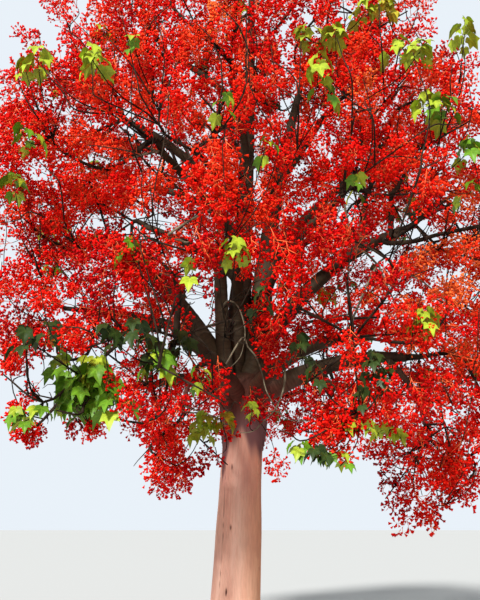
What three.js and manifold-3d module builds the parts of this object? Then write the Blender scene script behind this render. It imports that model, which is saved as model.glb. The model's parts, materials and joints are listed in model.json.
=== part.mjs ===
// Flame tree in full bloom: a leaning trunk, its boughs, and the masses of blossom that they carry.
// Millimetres, +Z up. The origin is the middle of the flat cut under the trunk, at ground level.
// Azimuths are in degrees from +X towards +Y, and rises in degrees above the horizontal.
import * as THREE from "three";
import { mergeVertices } from "three/addons/utils/BufferGeometryUtils.js";
import Module from "manifold-3d";

// Gap between pieces that meet
const CLEARANCE = 0.3;

// Trunk: girth, lean, root flare at the foot and swelling under the fork
const TRUNK = {
  height: 2900,
  lean: 0.0475,
  footRadius: 258,
  neckRadius: 200,
  flareRadius: 95,
  flareHeight: 190,
  flareLobes: 5,
  flareLobeDepth: 0.16,
  flareLobePhase: 0.6,
  swellFrom: 2250,
  swellX: 105,
  swellY: 55,
  swellPower: 1.5,
  sides: 16,
  rings: 12,
  ringPower: 1.6,
};

// Crown outline: a round dome about an upright axis, its radius worked out from the height
const CROWN = {
  axis: new THREE.Vector2(150, 0),
  top: 9700,
  widestHeight: 5200,
  widestRadius: 2980,
  footHeight: 1900,
  footRadius: 2400,
  domePower: 1.5,
  domeRoundness: 0.84,
  footPower: 1.5,
  skirtHeight: 2150,
};

// Limbs wander a little from side to side, each with its own phase
const LIMB_STEPS = 5;
const LIMB_WANDER = 7;
const GOLDEN_ANGLE = 137.5;
const THICK_LIMB = 80;
const THICK_LIMB_SIDES = 7;
const THIN_LIMB_SIDES = 5;

// Each limb leaves its parent at a height on the trunk or a share of the parent's length. It sets off at
// the azimuth, its rise runs from the first value to the second, and its radius tapers the same way.
// A mass is a ball whose middle lies a little past the limb's tip, and the limb's twigs may fill it down
// to the mass's lowest height. A stub carries none.
const LIMBS = [
  { name: "leader", from: "trunk", at: 2650, aside: [-115, 60], azimuth: 10, rise: [86, 89],
    length: 5000, radius: [135, 32], mass: { name: "crown_top", reach: 1600 } },
  { name: "right_stem", from: "trunk", at: 2650, aside: [105, 30], azimuth: 20, rise: [88, 74],
    length: 3700, radius: [145, 36], mass: { name: "right_top", reach: 1250 } },
  { name: "left_stub", from: "trunk", at: 2650, aside: [-165, -125], azimuth: 185, rise: [84, 89],
    length: 1480, radius: [84, 66] },
  { name: "left_bough", from: "trunk", at: 2420, azimuth: 187, rise: [72, 38],
    length: 2350, radius: [140, 44], mass: { name: "left_side", reach: 1200 } },
  { name: "left_low_bough", from: "left_bough", at: 0.44, azimuth: 192, rise: [22, 2],
    length: 950, radius: [58, 36], mass: { name: "left_low", reach: 1060 } },
  { name: "leaf_shoot", from: "left_low_bough", at: 0.35, azimuth: 222, rise: [-10, -48],
    length: 940, radius: [28, 16], mass: { name: "left_leaves", reach: 840, kind: "leaves" } },
  { name: "right_low_bough", from: "trunk", at: 2640, azimuth: 356, rise: [34, -2],
    length: 1750, radius: [118, 50], mass: { name: "right_low", reach: 1100 } },
  { name: "right_hanging_bough", from: "right_low_bough", at: 0.88, azimuth: 330, rise: [-40, -82],
    length: 820, radius: [34, 24], mass: { name: "right_hanging", reach: 880, lowest: 1400 } },
  { name: "right_bough", from: "trunk", at: 2780, azimuth: 353, rise: [72, 18],
    length: 2450, radius: [112, 44], mass: { name: "right_side", reach: 1180 } },
  { name: "right_fork_bough", from: "right_bough", at: 0.8, azimuth: 50, rise: [76, 70],
    length: 600, radius: [52, 34], mass: { name: "right_upper", reach: 1230 } },
  { name: "inner_right_bough", from: "right_stem", at: 0.42, azimuth: 336, rise: [48, 30],
    length: 1300, radius: [62, 36], mass: { name: "inner_right", reach: 1290 } },
  { name: "left_mid_bough", from: "leader", at: 0.27, azimuth: 170, rise: [42, 22],
    length: 1300, radius: [58, 36], mass: { name: "left_mid", reach: 1200 } },
  { name: "left_high_bough", from: "leader", at: 0.42, azimuth: 188, rise: [52, 26],
    length: 1600, radius: [66, 36], mass: { name: "left_high", reach: 1380 } },
  { name: "left_top_bough", from: "leader", at: 0.66, azimuth: 168, rise: [52, 36],
    length: 1200, radius: [46, 30], mass: { name: "left_top", reach: 1300 } },
  { name: "front_left_low_bough", from: "trunk", at: 2560, azimuth: 248, rise: [44, -8],
    length: 1600, radius: [92, 42], mass: { name: "front_left_low", reach: 1180, lowest: 2050 } },
  { name: "front_right_low_bough", from: "trunk", at: 2600, azimuth: 305, rise: [42, -8],
    length: 1650, radius: [92, 42], mass: { name: "front_right_low", reach: 1220 } },
  { name: "back_left_low_bough", from: "trunk", at: 2500, azimuth: 132, rise: [46, -8],
    length: 1700, radius: [98, 42], mass: { name: "back_left_low", reach: 1280, lowest: 2300 } },
  { name: "back_right_low_bough", from: "trunk", at: 2580, azimuth: 50, rise: [42, -8],
    length: 1700, radius: [98, 42], mass: { name: "back_right_low", reach: 1280, lowest: 2300 } },
  { name: "front_bough", from: "leader", at: 0.2, azimuth: 268, rise: [50, 18],
    length: 1500, radius: [66, 38], mass: { name: "front", reach: 1200 } },
  { name: "front_left_bough", from: "leader", at: 0.33, azimuth: 225, rise: [48, 22],
    length: 1450, radius: [60, 36], mass: { name: "front_left", reach: 1200 } },
  { name: "front_right_bough", from: "right_stem", at: 0.3, azimuth: 308, rise: [50, 16],
    length: 1500, radius: [62, 36], mass: { name: "front_right", reach: 1200 } },
  { name: "back_bough", from: "leader", at: 0.24, azimuth: 98, rise: [50, 18],
    length: 1600, radius: [66, 38], mass: { name: "back", reach: 1250 } },
  { name: "back_left_bough", from: "leader", at: 0.36, azimuth: 140, rise: [50, 24],
    length: 1500, radius: [60, 36], mass: { name: "back_left", reach: 1200 } },
  { name: "back_right_bough", from: "right_stem", at: 0.36, azimuth: 48, rise: [48, 22],
    length: 1500, radius: [62, 36], mass: { name: "back_right", reach: 1250 } },
  { name: "front_high_bough", from: "leader", at: 0.52, azimuth: 258, rise: [56, 38],
    length: 1100, radius: [50, 32], mass: { name: "front_high", reach: 1150 } },
  { name: "back_high_bough", from: "leader", at: 0.5, azimuth: 100, rise: [56, 38],
    length: 1150, radius: [52, 34], mass: { name: "back_high", reach: 1200 } },
  { name: "right_high_bough", from: "right_stem", at: 0.66, azimuth: 318, rise: [52, 36],
    length: 950, radius: [48, 32], mass: { name: "right_high", reach: 1150 } },
  { name: "back_top_bough", from: "leader", at: 0.72, azimuth: 85, rise: [50, 40],
    length: 950, radius: [38, 28], mass: { name: "back_top", reach: 1200 } },
  { name: "left_hanging_bough", from: "left_bough", at: 0.3, azimuth: 240, rise: [0, -80],
    length: 850, radius: [34, 20], mass: { name: "left_hanging", reach: 780, lowest: 1750 } },
];

// Masses: each keeps to its own share of the crown. The advance is a share of the mass's reach.
const MASS_GAP = 60;
const MASS_ADVANCE = 0.4;
const STEM_LENGTH = 150;

// Sprays: eight-faced clumps spaced evenly through a mass, each standing for many panicles or leaves
const SPRAYS = {
  blossom: { length: [430, 680], width: 0.72, thickness: 0.36, sag: 0.15, spacing: 390 },
  leaves: { length: [300, 420], width: 0.85, thickness: 0.24, sag: 0.9, spacing: 290 },
};
const MOST_SPRAYS = 16;
const SPRAY_DRAWS = 900;
const SPRAY_CLEARANCE = 25;

// Twigs: three-sided, each joining the tree at the point that gives the shortest way back to the stem
const TWIG_TIP_RADIUS = 9;
const TWIG_SIDES = 3;
const TWIG_CLEARANCE = 40;
const WAY_BACK_WEIGHT = 0.4;

// Fused masses lose the slivers that are thinner than this
const FUSE_TOLERANCE = 1;
const MERGE_TOLERANCE = 1e-3;

// Steepest direction, as its share along Z, that is still set across the upright axis
const NEARLY_UPRIGHT = 0.9;
const NEARLY_ZERO = 1e-9;

const COLOURS = {
  bark: { color: 0xa97f70, roughness: 0.85, metalness: 0 },
  bough: { color: 0x5d4a3f, roughness: 0.9, metalness: 0 },
  blossom: { color: 0xd9281a, roughness: 0.6, metalness: 0 },
  leaves: { color: 0x6f9a2c, roughness: 0.5, metalness: 0 },
};

const wasm = await Module();
wasm.setup();

const lerp = THREE.MathUtils.lerp;
const radians = THREE.MathUtils.degToRad;

// Seeded numbers from 0 to 1: each is worked out from the one before by one multiplication and one sum.
const SEED_FACTOR = 1664525;
const SEED_STEP = 1013904223;
const SEED_RANGE = 2 ** 32;

function seededNumbers(seed) {
  let state = seed >>> 0;
  return () => {
    state = (Math.imul(state, SEED_FACTOR) + SEED_STEP) >>> 0;
    return state / SEED_RANGE;
  };
}

function heading(azimuth, rise) {
  const a = radians(azimuth);
  const r = radians(rise);
  return new THREE.Vector3(Math.cos(r) * Math.cos(a), Math.cos(r) * Math.sin(a), Math.sin(r));
}

// Solids

function solidOf(geometry) {
  const bare = geometry.clone();
  bare.deleteAttribute("normal");
  bare.deleteAttribute("uv");
  const merged = mergeVertices(bare, MERGE_TOLERANCE);
  return new wasm.Manifold(new wasm.Mesh({
    numProp: 3,
    vertProperties: merged.attributes.position.array,
    triVerts: new Uint32Array(merged.index.array),
  }));
}

function geometryOf(solid) {
  const { vertProperties, triVerts } = solid.getMesh();
  const geometry = new THREE.BufferGeometry();
  geometry.setAttribute("position", new THREE.BufferAttribute(vertProperties, 3));
  geometry.setIndex(new THREE.BufferAttribute(triVerts, 1));
  const faceted = geometry.toNonIndexed();
  faceted.computeVertexNormals();
  return faceted;
}

// The largest body of a solid, with any sealed hollow filled and any loose scrap left out.
function mainBody(solid) {
  const bodies = solid.decompose();
  return bodies.reduce((best, body) => (body.volume() > best.volume() ? body : best));
}

// Trunk

function trunkAxis(z) {
  return new THREE.Vector3(TRUNK.lean * z, 0, z);
}

// Radii along X and Y at a height: an even taper, a flare at the foot and a swelling under the fork.
function trunkRadii(z) {
  const taper = lerp(TRUNK.footRadius, TRUNK.neckRadius, Math.min(z / TRUNK.swellFrom, 1));
  const flare = TRUNK.flareRadius * Math.exp(-z / TRUNK.flareHeight);
  const swell = (Math.max(z - TRUNK.swellFrom, 0) / (TRUNK.height - TRUNK.swellFrom)) ** TRUNK.swellPower;
  return [taper + flare + TRUNK.swellX * swell, taper + flare + TRUNK.swellY * swell];
}

// Rings are closer together at the foot, where the flare curves.
function trunkRingHeight(share) {
  return TRUNK.height * share ** TRUNK.ringPower;
}

function trunkGeometry(extra) {
  const geometry = new THREE.CylinderGeometry(1, 1, 1, TRUNK.sides, TRUNK.rings);
  geometry.rotateX(Math.PI / 2);
  const position = geometry.attributes.position;
  for (let i = 0; i < position.count; i++) {
    const [x, y, share] = [position.getX(i), position.getY(i), position.getZ(i) + 0.5];
    const z = trunkRingHeight(Math.max(share, 0));
    const angle = Math.atan2(y, x);
    const lobe = TRUNK.flareLobeDepth * Math.cos(TRUNK.flareLobes * angle + TRUNK.flareLobePhase);
    const spread = 1 + lobe * Math.exp(-z / TRUNK.flareHeight);
    const [radiusX, radiusY] = trunkRadii(z);
    const axis = trunkAxis(z);
    const lift = extra * (2 * share - 1);
    position.setXYZ(i, axis.x + x * (radiusX * spread + extra), y * (radiusY * spread + extra), z + lift);
  }
  return geometry;
}

// Limbs

// A tapering tube through the points, with one ring of the given radius at each point.
function tubeGeometry(points, radii, sides) {
  const last = points.length - 1;
  const geometry = new THREE.CylinderGeometry(1, 1, 1, sides, last);
  const tangents = points.map((point, i) => {
    const before = points[Math.max(i - 1, 0)];
    const after = points[Math.min(i + 1, last)];
    return new THREE.Vector3().subVectors(after, before).normalize();
  });
  const across = [];
  let normal = new THREE.Vector3(Math.abs(tangents[0].z) > NEARLY_UPRIGHT ? 1 : 0, 0, 1);
  for (const tangent of tangents) {
    normal = normal.clone().addScaledVector(tangent, -normal.dot(tangent)).normalize();
    across.push(normal);
  }
  const position = geometry.attributes.position;
  for (let i = 0; i < position.count; i++) {
    const ring = Math.round((position.getY(i) + 0.5) * last);
    const sideways = new THREE.Vector3().crossVectors(across[ring], tangents[ring]);
    const place = points[ring].clone();
    place.addScaledVector(across[ring], position.getX(i) * radii[ring]);
    place.addScaledVector(sideways, position.getZ(i) * radii[ring]);
    position.setXYZ(i, place.x, place.y, place.z);
  }
  return geometry;
}

function pointAlong(points, share) {
  const place = share * (points.length - 1);
  const before = Math.min(Math.floor(place), points.length - 2);
  return points[before].clone().lerp(points[before + 1], place - before);
}

// The limb starts on its parent's axis and is followed in equal steps as its heading changes.
function limbPoints(limb, index, grown) {
  const start = limb.from === "trunk" ? trunkAxis(limb.at) : pointAlong(grown[limb.from].points, limb.at);
  if (limb.aside) start.add(new THREE.Vector3(limb.aside[0], limb.aside[1], 0));
  const points = [start];
  for (let step = 0; step < LIMB_STEPS; step++) {
    const share = (step + 0.5) / LIMB_STEPS;
    const phase = radians(360 * share + GOLDEN_ANGLE * index);
    const azimuth = limb.azimuth + LIMB_WANDER * Math.sin(phase);
    const way = heading(azimuth, lerp(limb.rise[0], limb.rise[1], share));
    points.push(points[step].clone().addScaledVector(way, limb.length / LIMB_STEPS));
  }
  return points;
}

function limbRadii(limb) {
  return Array.from({ length: LIMB_STEPS + 1 }, (unused, i) =>
    lerp(limb.radius[0], limb.radius[1], i / LIMB_STEPS));
}

function limbTube(limb, extra) {
  const sides = limb.radius[0] > THICK_LIMB ? THICK_LIMB_SIDES : THIN_LIMB_SIDES;
  return tubeGeometry(limb.points, limb.radii.map((radius) => radius + extra), sides);
}

// Every limb is cut clear of the trunk and of the limbs before it.
function growLimbs() {
  const grown = {};
  const cutters = [solidOf(trunkGeometry(CLEARANCE))];
  LIMBS.forEach((limb, index) => {
    const whole = { ...limb, points: limbPoints(limb, index, grown), radii: limbRadii(limb) };
    const solid = cutters.reduce((left, cutter) => left.subtract(cutter), solidOf(limbTube(whole, 0)));
    whole.solid = mainBody(solid);
    cutters.push(solidOf(limbTube(whole, CLEARANCE)));
    grown[limb.name] = whole;
  });
  return grown;
}

// Straight stretches of the trunk and limbs, each with its greatest radius, that twigs keep clear of.
function limbStretches(grown) {
  const trunkRadius = TRUNK.neckRadius + TRUNK.swellX;
  const stretches = [{ a: trunkAxis(0), b: trunkAxis(TRUNK.height), radius: trunkRadius }];
  for (const { points, radii } of Object.values(grown)) {
    for (let i = 0; i < LIMB_STEPS; i++) {
      stretches.push({ a: points[i], b: points[i + 1], radius: radii[i] });
    }
  }
  return stretches;
}

// The least distance between the straight lines from a to b and from c to d.
function lineDistance(a, b, c, d) {
  const ab = b.clone().sub(a);
  const cd = d.clone().sub(c);
  const ca = a.clone().sub(c);
  const [aa, cc, ac] = [ab.dot(ab), cd.dot(cd), ab.dot(cd)];
  const [af, cf] = [ab.dot(ca), cd.dot(ca)];
  const slack = aa * cc - ac * ac;
  let s = slack > NEARLY_ZERO ? THREE.MathUtils.clamp((ac * cf - af * cc) / slack, 0, 1) : 0;
  const t = THREE.MathUtils.clamp((ac * s + cf) / cc, 0, 1);
  s = THREE.MathUtils.clamp((ac * t - af) / aa, 0, 1);
  return a.clone().addScaledVector(ab, s).distanceTo(c.clone().addScaledVector(cd, t));
}

function clearOfLimbs(a, b, stretches, room) {
  return stretches.every((limb) => lineDistance(a, b, limb.a, limb.b) > limb.radius + room);
}

// Masses

function crownRadius(z) {
  if (z >= CROWN.top) return 0;
  if (z > CROWN.widestHeight) {
    const rise = (z - CROWN.widestHeight) / (CROWN.top - CROWN.widestHeight);
    return CROWN.widestRadius * (1 - rise ** CROWN.domePower) ** CROWN.domeRoundness;
  }
  const drop = (CROWN.widestHeight - z) / (CROWN.widestHeight - CROWN.footHeight);
  return CROWN.widestRadius - (CROWN.widestRadius - CROWN.footRadius) * drop ** CROWN.footPower;
}

function inCrown(point) {
  return Math.hypot(point.x - CROWN.axis.x, point.y - CROWN.axis.y) <= crownRadius(point.z);
}

function placeMasses(grown) {
  return Object.values(grown).filter((limb) => limb.mass).map((limb) => {
    const tip = limb.points[LIMB_STEPS];
    const way = tip.clone().sub(limb.points[LIMB_STEPS - 1]).normalize();
    const { name, reach, kind = "blossom", lowest = CROWN.skirtHeight } = limb.mass;
    const middle = tip.clone().addScaledVector(way, MASS_ADVANCE * reach);
    return { name, reach, kind, lowest, middle, tip, way, tipRadius: limb.radii[LIMB_STEPS] };
  });
}

// A mass's share is a convex cell: nearer in power to its own ball than to any other, less half a gap.
function ownSpace(point, mass, masses) {
  const power = (other) => point.distanceToSquared(other.middle) - other.reach ** 2;
  const own = power(mass);
  if (own > 0 || point.z < mass.lowest || !inCrown(point)) return false;
  return masses.every((other) =>
    other === mass || power(other) - own >= MASS_GAP * mass.middle.distanceTo(other.middle));
}

// Sprays

function drawSpray(mass, random) {
  const shape = SPRAYS[mass.kind];
  const offset = new THREE.Vector3(random() - 0.5, random() - 0.5, random() - 0.5);
  const centre = mass.middle.clone().addScaledVector(offset, 2 * mass.reach);
  const roll = Math.PI * random();
  const length = lerp(shape.length[0], shape.length[1], random());
  const way = centre.clone().sub(mass.tip).normalize();
  way.z -= shape.sag;
  way.normalize();
  const flat = new THREE.Vector3(0, 0, 1).addScaledVector(way, -way.z);
  flat.normalize().applyAxisAngle(way, roll);
  const side = new THREE.Vector3().crossVectors(flat, way);
  return { centre, axes: [way, side, flat],
    sizes: [length / 2, length * shape.width / 2, length * shape.thickness / 2] };
}

function sprayCorners(spray) {
  return spray.axes.flatMap((axis, i) => [1, -1].map((sign) =>
    spray.centre.clone().addScaledVector(axis, sign * spray.sizes[i])));
}

function sprayFits(spray, mass, masses, stretches) {
  const corners = sprayCorners(spray);
  if (!corners.every((corner) => ownSpace(corner, mass, masses))) return false;
  return clearOfLimbs(corners[0], corners[1], stretches, spray.sizes[1] + SPRAY_CLEARANCE);
}

// Sprays are chosen from a set of draws that fit: first the one nearest the stem, then each time the one
// furthest from those already chosen, until the mass is evenly filled.
function scatterSprays(mass, masses, stretches, seed) {
  const random = seededNumbers(seed);
  const draws = Array.from({ length: SPRAY_DRAWS }, () => drawSpray(mass, random));
  const fitting = draws.filter((spray) => sprayFits(spray, mass, masses, stretches));
  const gaps = fitting.map(() => Infinity);
  const fromStem = fitting.map((spray) => spray.centre.distanceTo(mass.tip));
  const sprays = [];
  let next = fromStem.indexOf(Math.min(...fromStem));
  while (sprays.length < MOST_SPRAYS && gaps[next] >= SPRAYS[mass.kind].spacing) {
    sprays.push(fitting[next]);
    fitting.forEach((spray, i) => {
      gaps[i] = Math.min(gaps[i], spray.centre.distanceTo(fitting[next].centre));
    });
    next = gaps.indexOf(Math.max(...gaps));
  }
  return sprays;
}

function sprayGeometry(spray) {
  const geometry = new THREE.OctahedronGeometry(1, 0);
  const [way, side, flat] = spray.axes;
  const place = new THREE.Matrix4().makeBasis(way, side, flat).setPosition(spray.centre);
  const size = new THREE.Matrix4().makeScale(...spray.sizes);
  return geometry.applyMatrix4(place.multiply(size));
}

// Twigs

// Knots of the twig tree: the stem's foot and head, then each spray, nearest to the stem first.
function growTwigs(mass, sprays, stretches) {
  const foot = { point: mass.tip.clone().addScaledVector(mass.way, CLEARANCE), way: 0, children: [] };
  const head = { point: mass.tip.clone().addScaledVector(mass.way, STEM_LENGTH), way: 0, children: [] };
  foot.children.push(head);
  const knots = [head];
  const near = [...sprays].sort((a, b) => a.centre.distanceTo(mass.tip) - b.centre.distanceTo(mass.tip));
  for (const spray of near) {
    const cost = (knot) => knot.point.distanceTo(spray.centre) + WAY_BACK_WEIGHT * knot.way;
    const choices = [...knots].sort((a, b) => cost(a) - cost(b));
    const parent = choices.find((knot) => clearOfLimbs(knot.point, spray.centre, stretches, TWIG_CLEARANCE));
    if (!parent) continue;
    const way = parent.way + parent.point.distanceTo(spray.centre);
    const knot = { point: spray.centre, way, children: [], spray };
    parent.children.push(knot);
    knots.push(knot);
  }
  return foot;
}

function countSprays(knot) {
  knot.load = knot.children.reduce((sum, child) => sum + countSprays(child), knot.spray ? 1 : 0);
  return knot.load;
}

// Chains of knots: each child that carries most goes on along its parent's tube, and the rest branch off.
function twigChains(knot, chain, chains) {
  chain.push(knot);
  const [main, ...others] = [...knot.children].sort((a, b) => b.load - a.load);
  if (main) twigChains(main, chain, chains);
  for (const child of others) {
    const branch = [knot];
    chains.push(branch);
    twigChains(child, branch, chains);
  }
  return chains;
}

function twigRadius(knot) {
  return TWIG_TIP_RADIUS * Math.sqrt(Math.max(knot.load, 1));
}

function chainGeometry(chain, footRadius) {
  const radii = chain.map((knot, i) => twigRadius(i === 0 ? chain[1] : knot));
  if (footRadius) radii[0] = footRadius;
  return tubeGeometry(chain.map((knot) => knot.point), radii, TWIG_SIDES);
}

function massSolid(mass, masses, stretches, seed) {
  const sprays = scatterSprays(mass, masses, stretches, seed);
  const foot = growTwigs(mass, sprays, stretches);
  countSprays(foot);
  const trunkChain = [];
  const chains = twigChains(foot, trunkChain, [trunkChain]);
  const pieces = chains.map((chain) => solidOf(chainGeometry(chain, chain[0] === foot && mass.tipRadius)));
  const carried = [];
  const collect = (knot) => {
    if (knot.spray) carried.push(knot.spray);
    knot.children.forEach(collect);
  };
  collect(foot);
  pieces.push(...carried.map((spray) => solidOf(sprayGeometry(spray))));
  return mainBody(wasm.Manifold.union(pieces).simplify(FUSE_TOLERANCE));
}

// The tree

function addMesh(tree, name, geometry, colour) {
  const mesh = new THREE.Mesh(geometry, new THREE.MeshStandardMaterial(colour));
  mesh.name = name;
  tree.add(mesh);
}

function buildTree() {
  const tree = new THREE.Group();
  addMesh(tree, "trunk", trunkGeometry(0), COLOURS.bark);
  const grown = growLimbs();
  for (const limb of Object.values(grown)) {
    addMesh(tree, limb.name, geometryOf(limb.solid), COLOURS.bough);
  }
  const stretches = limbStretches(grown);
  const masses = placeMasses(grown);
  masses.forEach((mass, index) => {
    const solid = massSolid(mass, masses, stretches, index + 1);
    addMesh(tree, mass.name + "_mass", geometryOf(solid), COLOURS[mass.kind]);
  });
  return tree;
}

const group = buildTree();
export default group;
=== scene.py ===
import json
import math

import bpy
import numpy as np
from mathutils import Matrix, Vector

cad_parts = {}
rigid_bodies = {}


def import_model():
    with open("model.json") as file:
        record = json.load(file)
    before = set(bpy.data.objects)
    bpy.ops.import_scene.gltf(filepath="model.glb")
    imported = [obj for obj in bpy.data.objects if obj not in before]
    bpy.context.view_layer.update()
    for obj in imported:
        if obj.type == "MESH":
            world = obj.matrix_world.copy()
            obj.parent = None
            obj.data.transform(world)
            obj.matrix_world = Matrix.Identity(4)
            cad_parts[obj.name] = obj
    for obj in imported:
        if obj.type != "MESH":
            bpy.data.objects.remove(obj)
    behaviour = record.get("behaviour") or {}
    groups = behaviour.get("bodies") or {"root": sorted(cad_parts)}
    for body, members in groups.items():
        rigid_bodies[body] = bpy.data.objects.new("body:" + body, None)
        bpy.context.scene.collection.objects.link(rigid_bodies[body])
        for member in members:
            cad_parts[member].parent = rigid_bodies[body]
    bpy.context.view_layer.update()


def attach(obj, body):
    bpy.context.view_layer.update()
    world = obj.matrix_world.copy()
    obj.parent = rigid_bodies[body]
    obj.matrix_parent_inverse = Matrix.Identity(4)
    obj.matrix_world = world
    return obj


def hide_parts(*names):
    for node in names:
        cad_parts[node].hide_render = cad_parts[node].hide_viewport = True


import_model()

# Flame tree in full bloom: bark, twigs, panicles of bells and tufts of lobed leaves.
# Metres, +Z up. Azimuths run in degrees from +X towards +Y, and rises from the horizontal.
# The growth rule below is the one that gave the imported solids, with the same draws, and goes on from
# their twigs to finer ones.

UP = np.array([0.0, 0.0, 1.0])
GOLDEN_ANGLE = 137.5

# Camera of the photograph: its place, how far it looks up and its lens
EYE = np.array([0.08, -8.2, 1.6])
EYE_RISE = math.atan(0.2625)
PICTURE = (480, 600)
SENSOR_LONG_SIDE = 36.0
LENS = 48.0
PIXELS_PER_UNIT = PICTURE[1] * LENS / SENSOR_LONG_SIDE

# Trunk
TRUNK_HEIGHT = 2.9
TRUNK_LEAN = 0.0475
FOOT_RADIUS = 0.258
NECK_RADIUS = 0.2
FLARE_RADIUS = 0.095
FLARE_HEIGHT = 0.19
FLARE_LOBES = 5
FLARE_LOBE_DEPTH = 0.16
FLARE_LOBE_PHASE = 0.6
SWELL_FROM = 2.25
SWELL_X = 0.105
SWELL_Y = 0.055
SWELL_POWER = 1.5

# Crown outline
CROWN_AXIS = np.array([0.15, 0.0])
CROWN_TOP = 9.7
WIDEST_HEIGHT = 5.2
WIDEST_RADIUS = 2.98
CROWN_FOOT = 1.9
CROWN_FOOT_RADIUS = 2.4
DOME_POWER = 1.5
DOME_ROUNDNESS = 0.84
UNDER_POWER = 1.5
SKIRT_HEIGHT = 2.15

# Limbs, masses, sprays and twigs of the source's rule
LIMB_STEPS = 5
LIMB_WANDER = 7
CLEARANCE = 0.0003
MASS_GAP = 0.06
MASS_ADVANCE = 0.4
STEM_LENGTH = 0.15
SPRAY_DRAWS = 900
MOST_SPRAYS = 16
SPRAY_CLEARANCE = 0.025
SPRAYS = {
    "blossom": dict(length=(0.43, 0.68), width=0.72, thickness=0.36, sag=0.15, spacing=0.39),
    "leaves": dict(length=(0.3, 0.42), width=0.85, thickness=0.24, sag=0.9, spacing=0.29),
}
TWIG_TIP_RADIUS = 0.009
TWIG_CLEARANCE = 0.04
WAY_BACK_WEIGHT = 0.4

# Seeds of the draws, one for each kind of piece
TRUNK_SEED = 3
LIMB_SEED = 100
PANICLE_SEED = 40
BLOOM_SEED = 11
LEAF_SEED = 23
SHOOT_SEED = 31
ANY_PHASE = (0, 6.3)


def limb(name, parent, at, azimuth, rise, length, radius, mass=None, reach=0.0,
         lowest=SKIRT_HEIGHT, kind="blossom", aside=(0.0, 0.0)):
    """One limb: it leaves the trunk at a height, or another limb at a share of its length."""
    return dict(name=name, parent=parent, at=at, azimuth=azimuth, rise=rise, length=length, radius=radius,
                mass=mass, reach=reach, lowest=lowest, kind=kind, aside=aside)


def bough(mass, parent, at, azimuth, rise, length, radius, reach, lowest=SKIRT_HEIGHT):
    """A limb that is named after the mass that it carries."""
    return limb(mass + "_bough", parent, at, azimuth, rise, length, radius, mass, reach, lowest)


LIMBS = [
    limb("leader", "trunk", 2.65, 10, (86, 89), 5.0, (0.135, 0.032), "crown_top", 1.6, aside=(-0.115, 0.06)),
    limb("right_stem", "trunk", 2.65, 20, (88, 74), 3.7, (0.145, 0.036), "right_top", 1.25,
         aside=(0.105, 0.03)),
    limb("left_stub", "trunk", 2.65, 185, (84, 89), 1.48, (0.084, 0.066), aside=(-0.165, -0.125)),
    limb("left_bough", "trunk", 2.42, 187, (72, 38), 2.35, (0.14, 0.044), "left_side", 1.2),
    bough("left_low", "left_bough", 0.44, 192, (22, 2), 0.95, (0.058, 0.036), 1.06),
    limb("leaf_shoot", "left_low_bough", 0.35, 222, (-10, -48), 0.94, (0.028, 0.016), "left_leaves", 0.84,
         kind="leaves"),
    bough("right_low", "trunk", 2.64, 356, (34, -2), 1.75, (0.118, 0.05), 1.1),
    bough("right_hanging", "right_low_bough", 0.88, 330, (-40, -82), 0.82, (0.034, 0.024), 0.88, 1.4),
    limb("right_bough", "trunk", 2.78, 353, (72, 18), 2.45, (0.112, 0.044), "right_side", 1.18),
    limb("right_fork_bough", "right_bough", 0.8, 50, (76, 70), 0.6, (0.052, 0.034), "right_upper", 1.23),
    bough("inner_right", "right_stem", 0.42, 336, (48, 30), 1.3, (0.062, 0.036), 1.29),
    bough("left_mid", "leader", 0.27, 170, (42, 22), 1.3, (0.058, 0.036), 1.2),
    bough("left_high", "leader", 0.42, 188, (52, 26), 1.6, (0.066, 0.036), 1.38),
    bough("left_top", "leader", 0.66, 168, (52, 36), 1.2, (0.046, 0.03), 1.3),
    bough("front_left_low", "trunk", 2.56, 248, (44, -8), 1.6, (0.092, 0.042), 1.18, 2.05),
    bough("front_right_low", "trunk", 2.6, 305, (42, -8), 1.65, (0.092, 0.042), 1.22),
    bough("back_left_low", "trunk", 2.5, 132, (46, -8), 1.7, (0.098, 0.042), 1.28, 2.3),
    bough("back_right_low", "trunk", 2.58, 50, (42, -8), 1.7, (0.098, 0.042), 1.28, 2.3),
    bough("front", "leader", 0.2, 268, (50, 18), 1.5, (0.066, 0.038), 1.2),
    bough("front_left", "leader", 0.33, 225, (48, 22), 1.45, (0.06, 0.036), 1.2),
    bough("front_right", "right_stem", 0.3, 308, (50, 16), 1.5, (0.062, 0.036), 1.2),
    bough("back", "leader", 0.24, 98, (50, 18), 1.6, (0.066, 0.038), 1.25),
    bough("back_left", "leader", 0.36, 140, (50, 24), 1.5, (0.06, 0.036), 1.2),
    bough("back_right", "right_stem", 0.36, 48, (48, 22), 1.5, (0.062, 0.036), 1.25),
    bough("front_high", "leader", 0.52, 258, (56, 38), 1.1, (0.05, 0.032), 1.15),
    bough("back_high", "leader", 0.5, 100, (56, 38), 1.15, (0.052, 0.034), 1.2),
    bough("right_high", "right_stem", 0.66, 318, (52, 36), 0.95, (0.048, 0.032), 1.15),
    bough("back_top", "leader", 0.72, 85, (50, 40), 0.95, (0.038, 0.028), 1.2),
    bough("left_hanging", "left_bough", 0.3, 240, (0, -80), 0.85, (0.034, 0.02), 0.78, 1.75),
]


# Growth rule of the solids

def unit(vectors):
    return vectors / np.linalg.norm(vectors, axis=-1, keepdims=True)


def heading(azimuth, rise):
    a = math.radians(azimuth)
    r = math.radians(rise)
    return np.array([math.cos(r) * math.cos(a), math.cos(r) * math.sin(a), math.sin(r)])


def trunk_axis(z):
    return np.array([TRUNK_LEAN * z, 0.0, z])


def point_along(points, share):
    place = share * (len(points) - 1)
    before = min(int(place), len(points) - 2)
    return points[before] + (points[before + 1] - points[before]) * (place - before)


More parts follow.
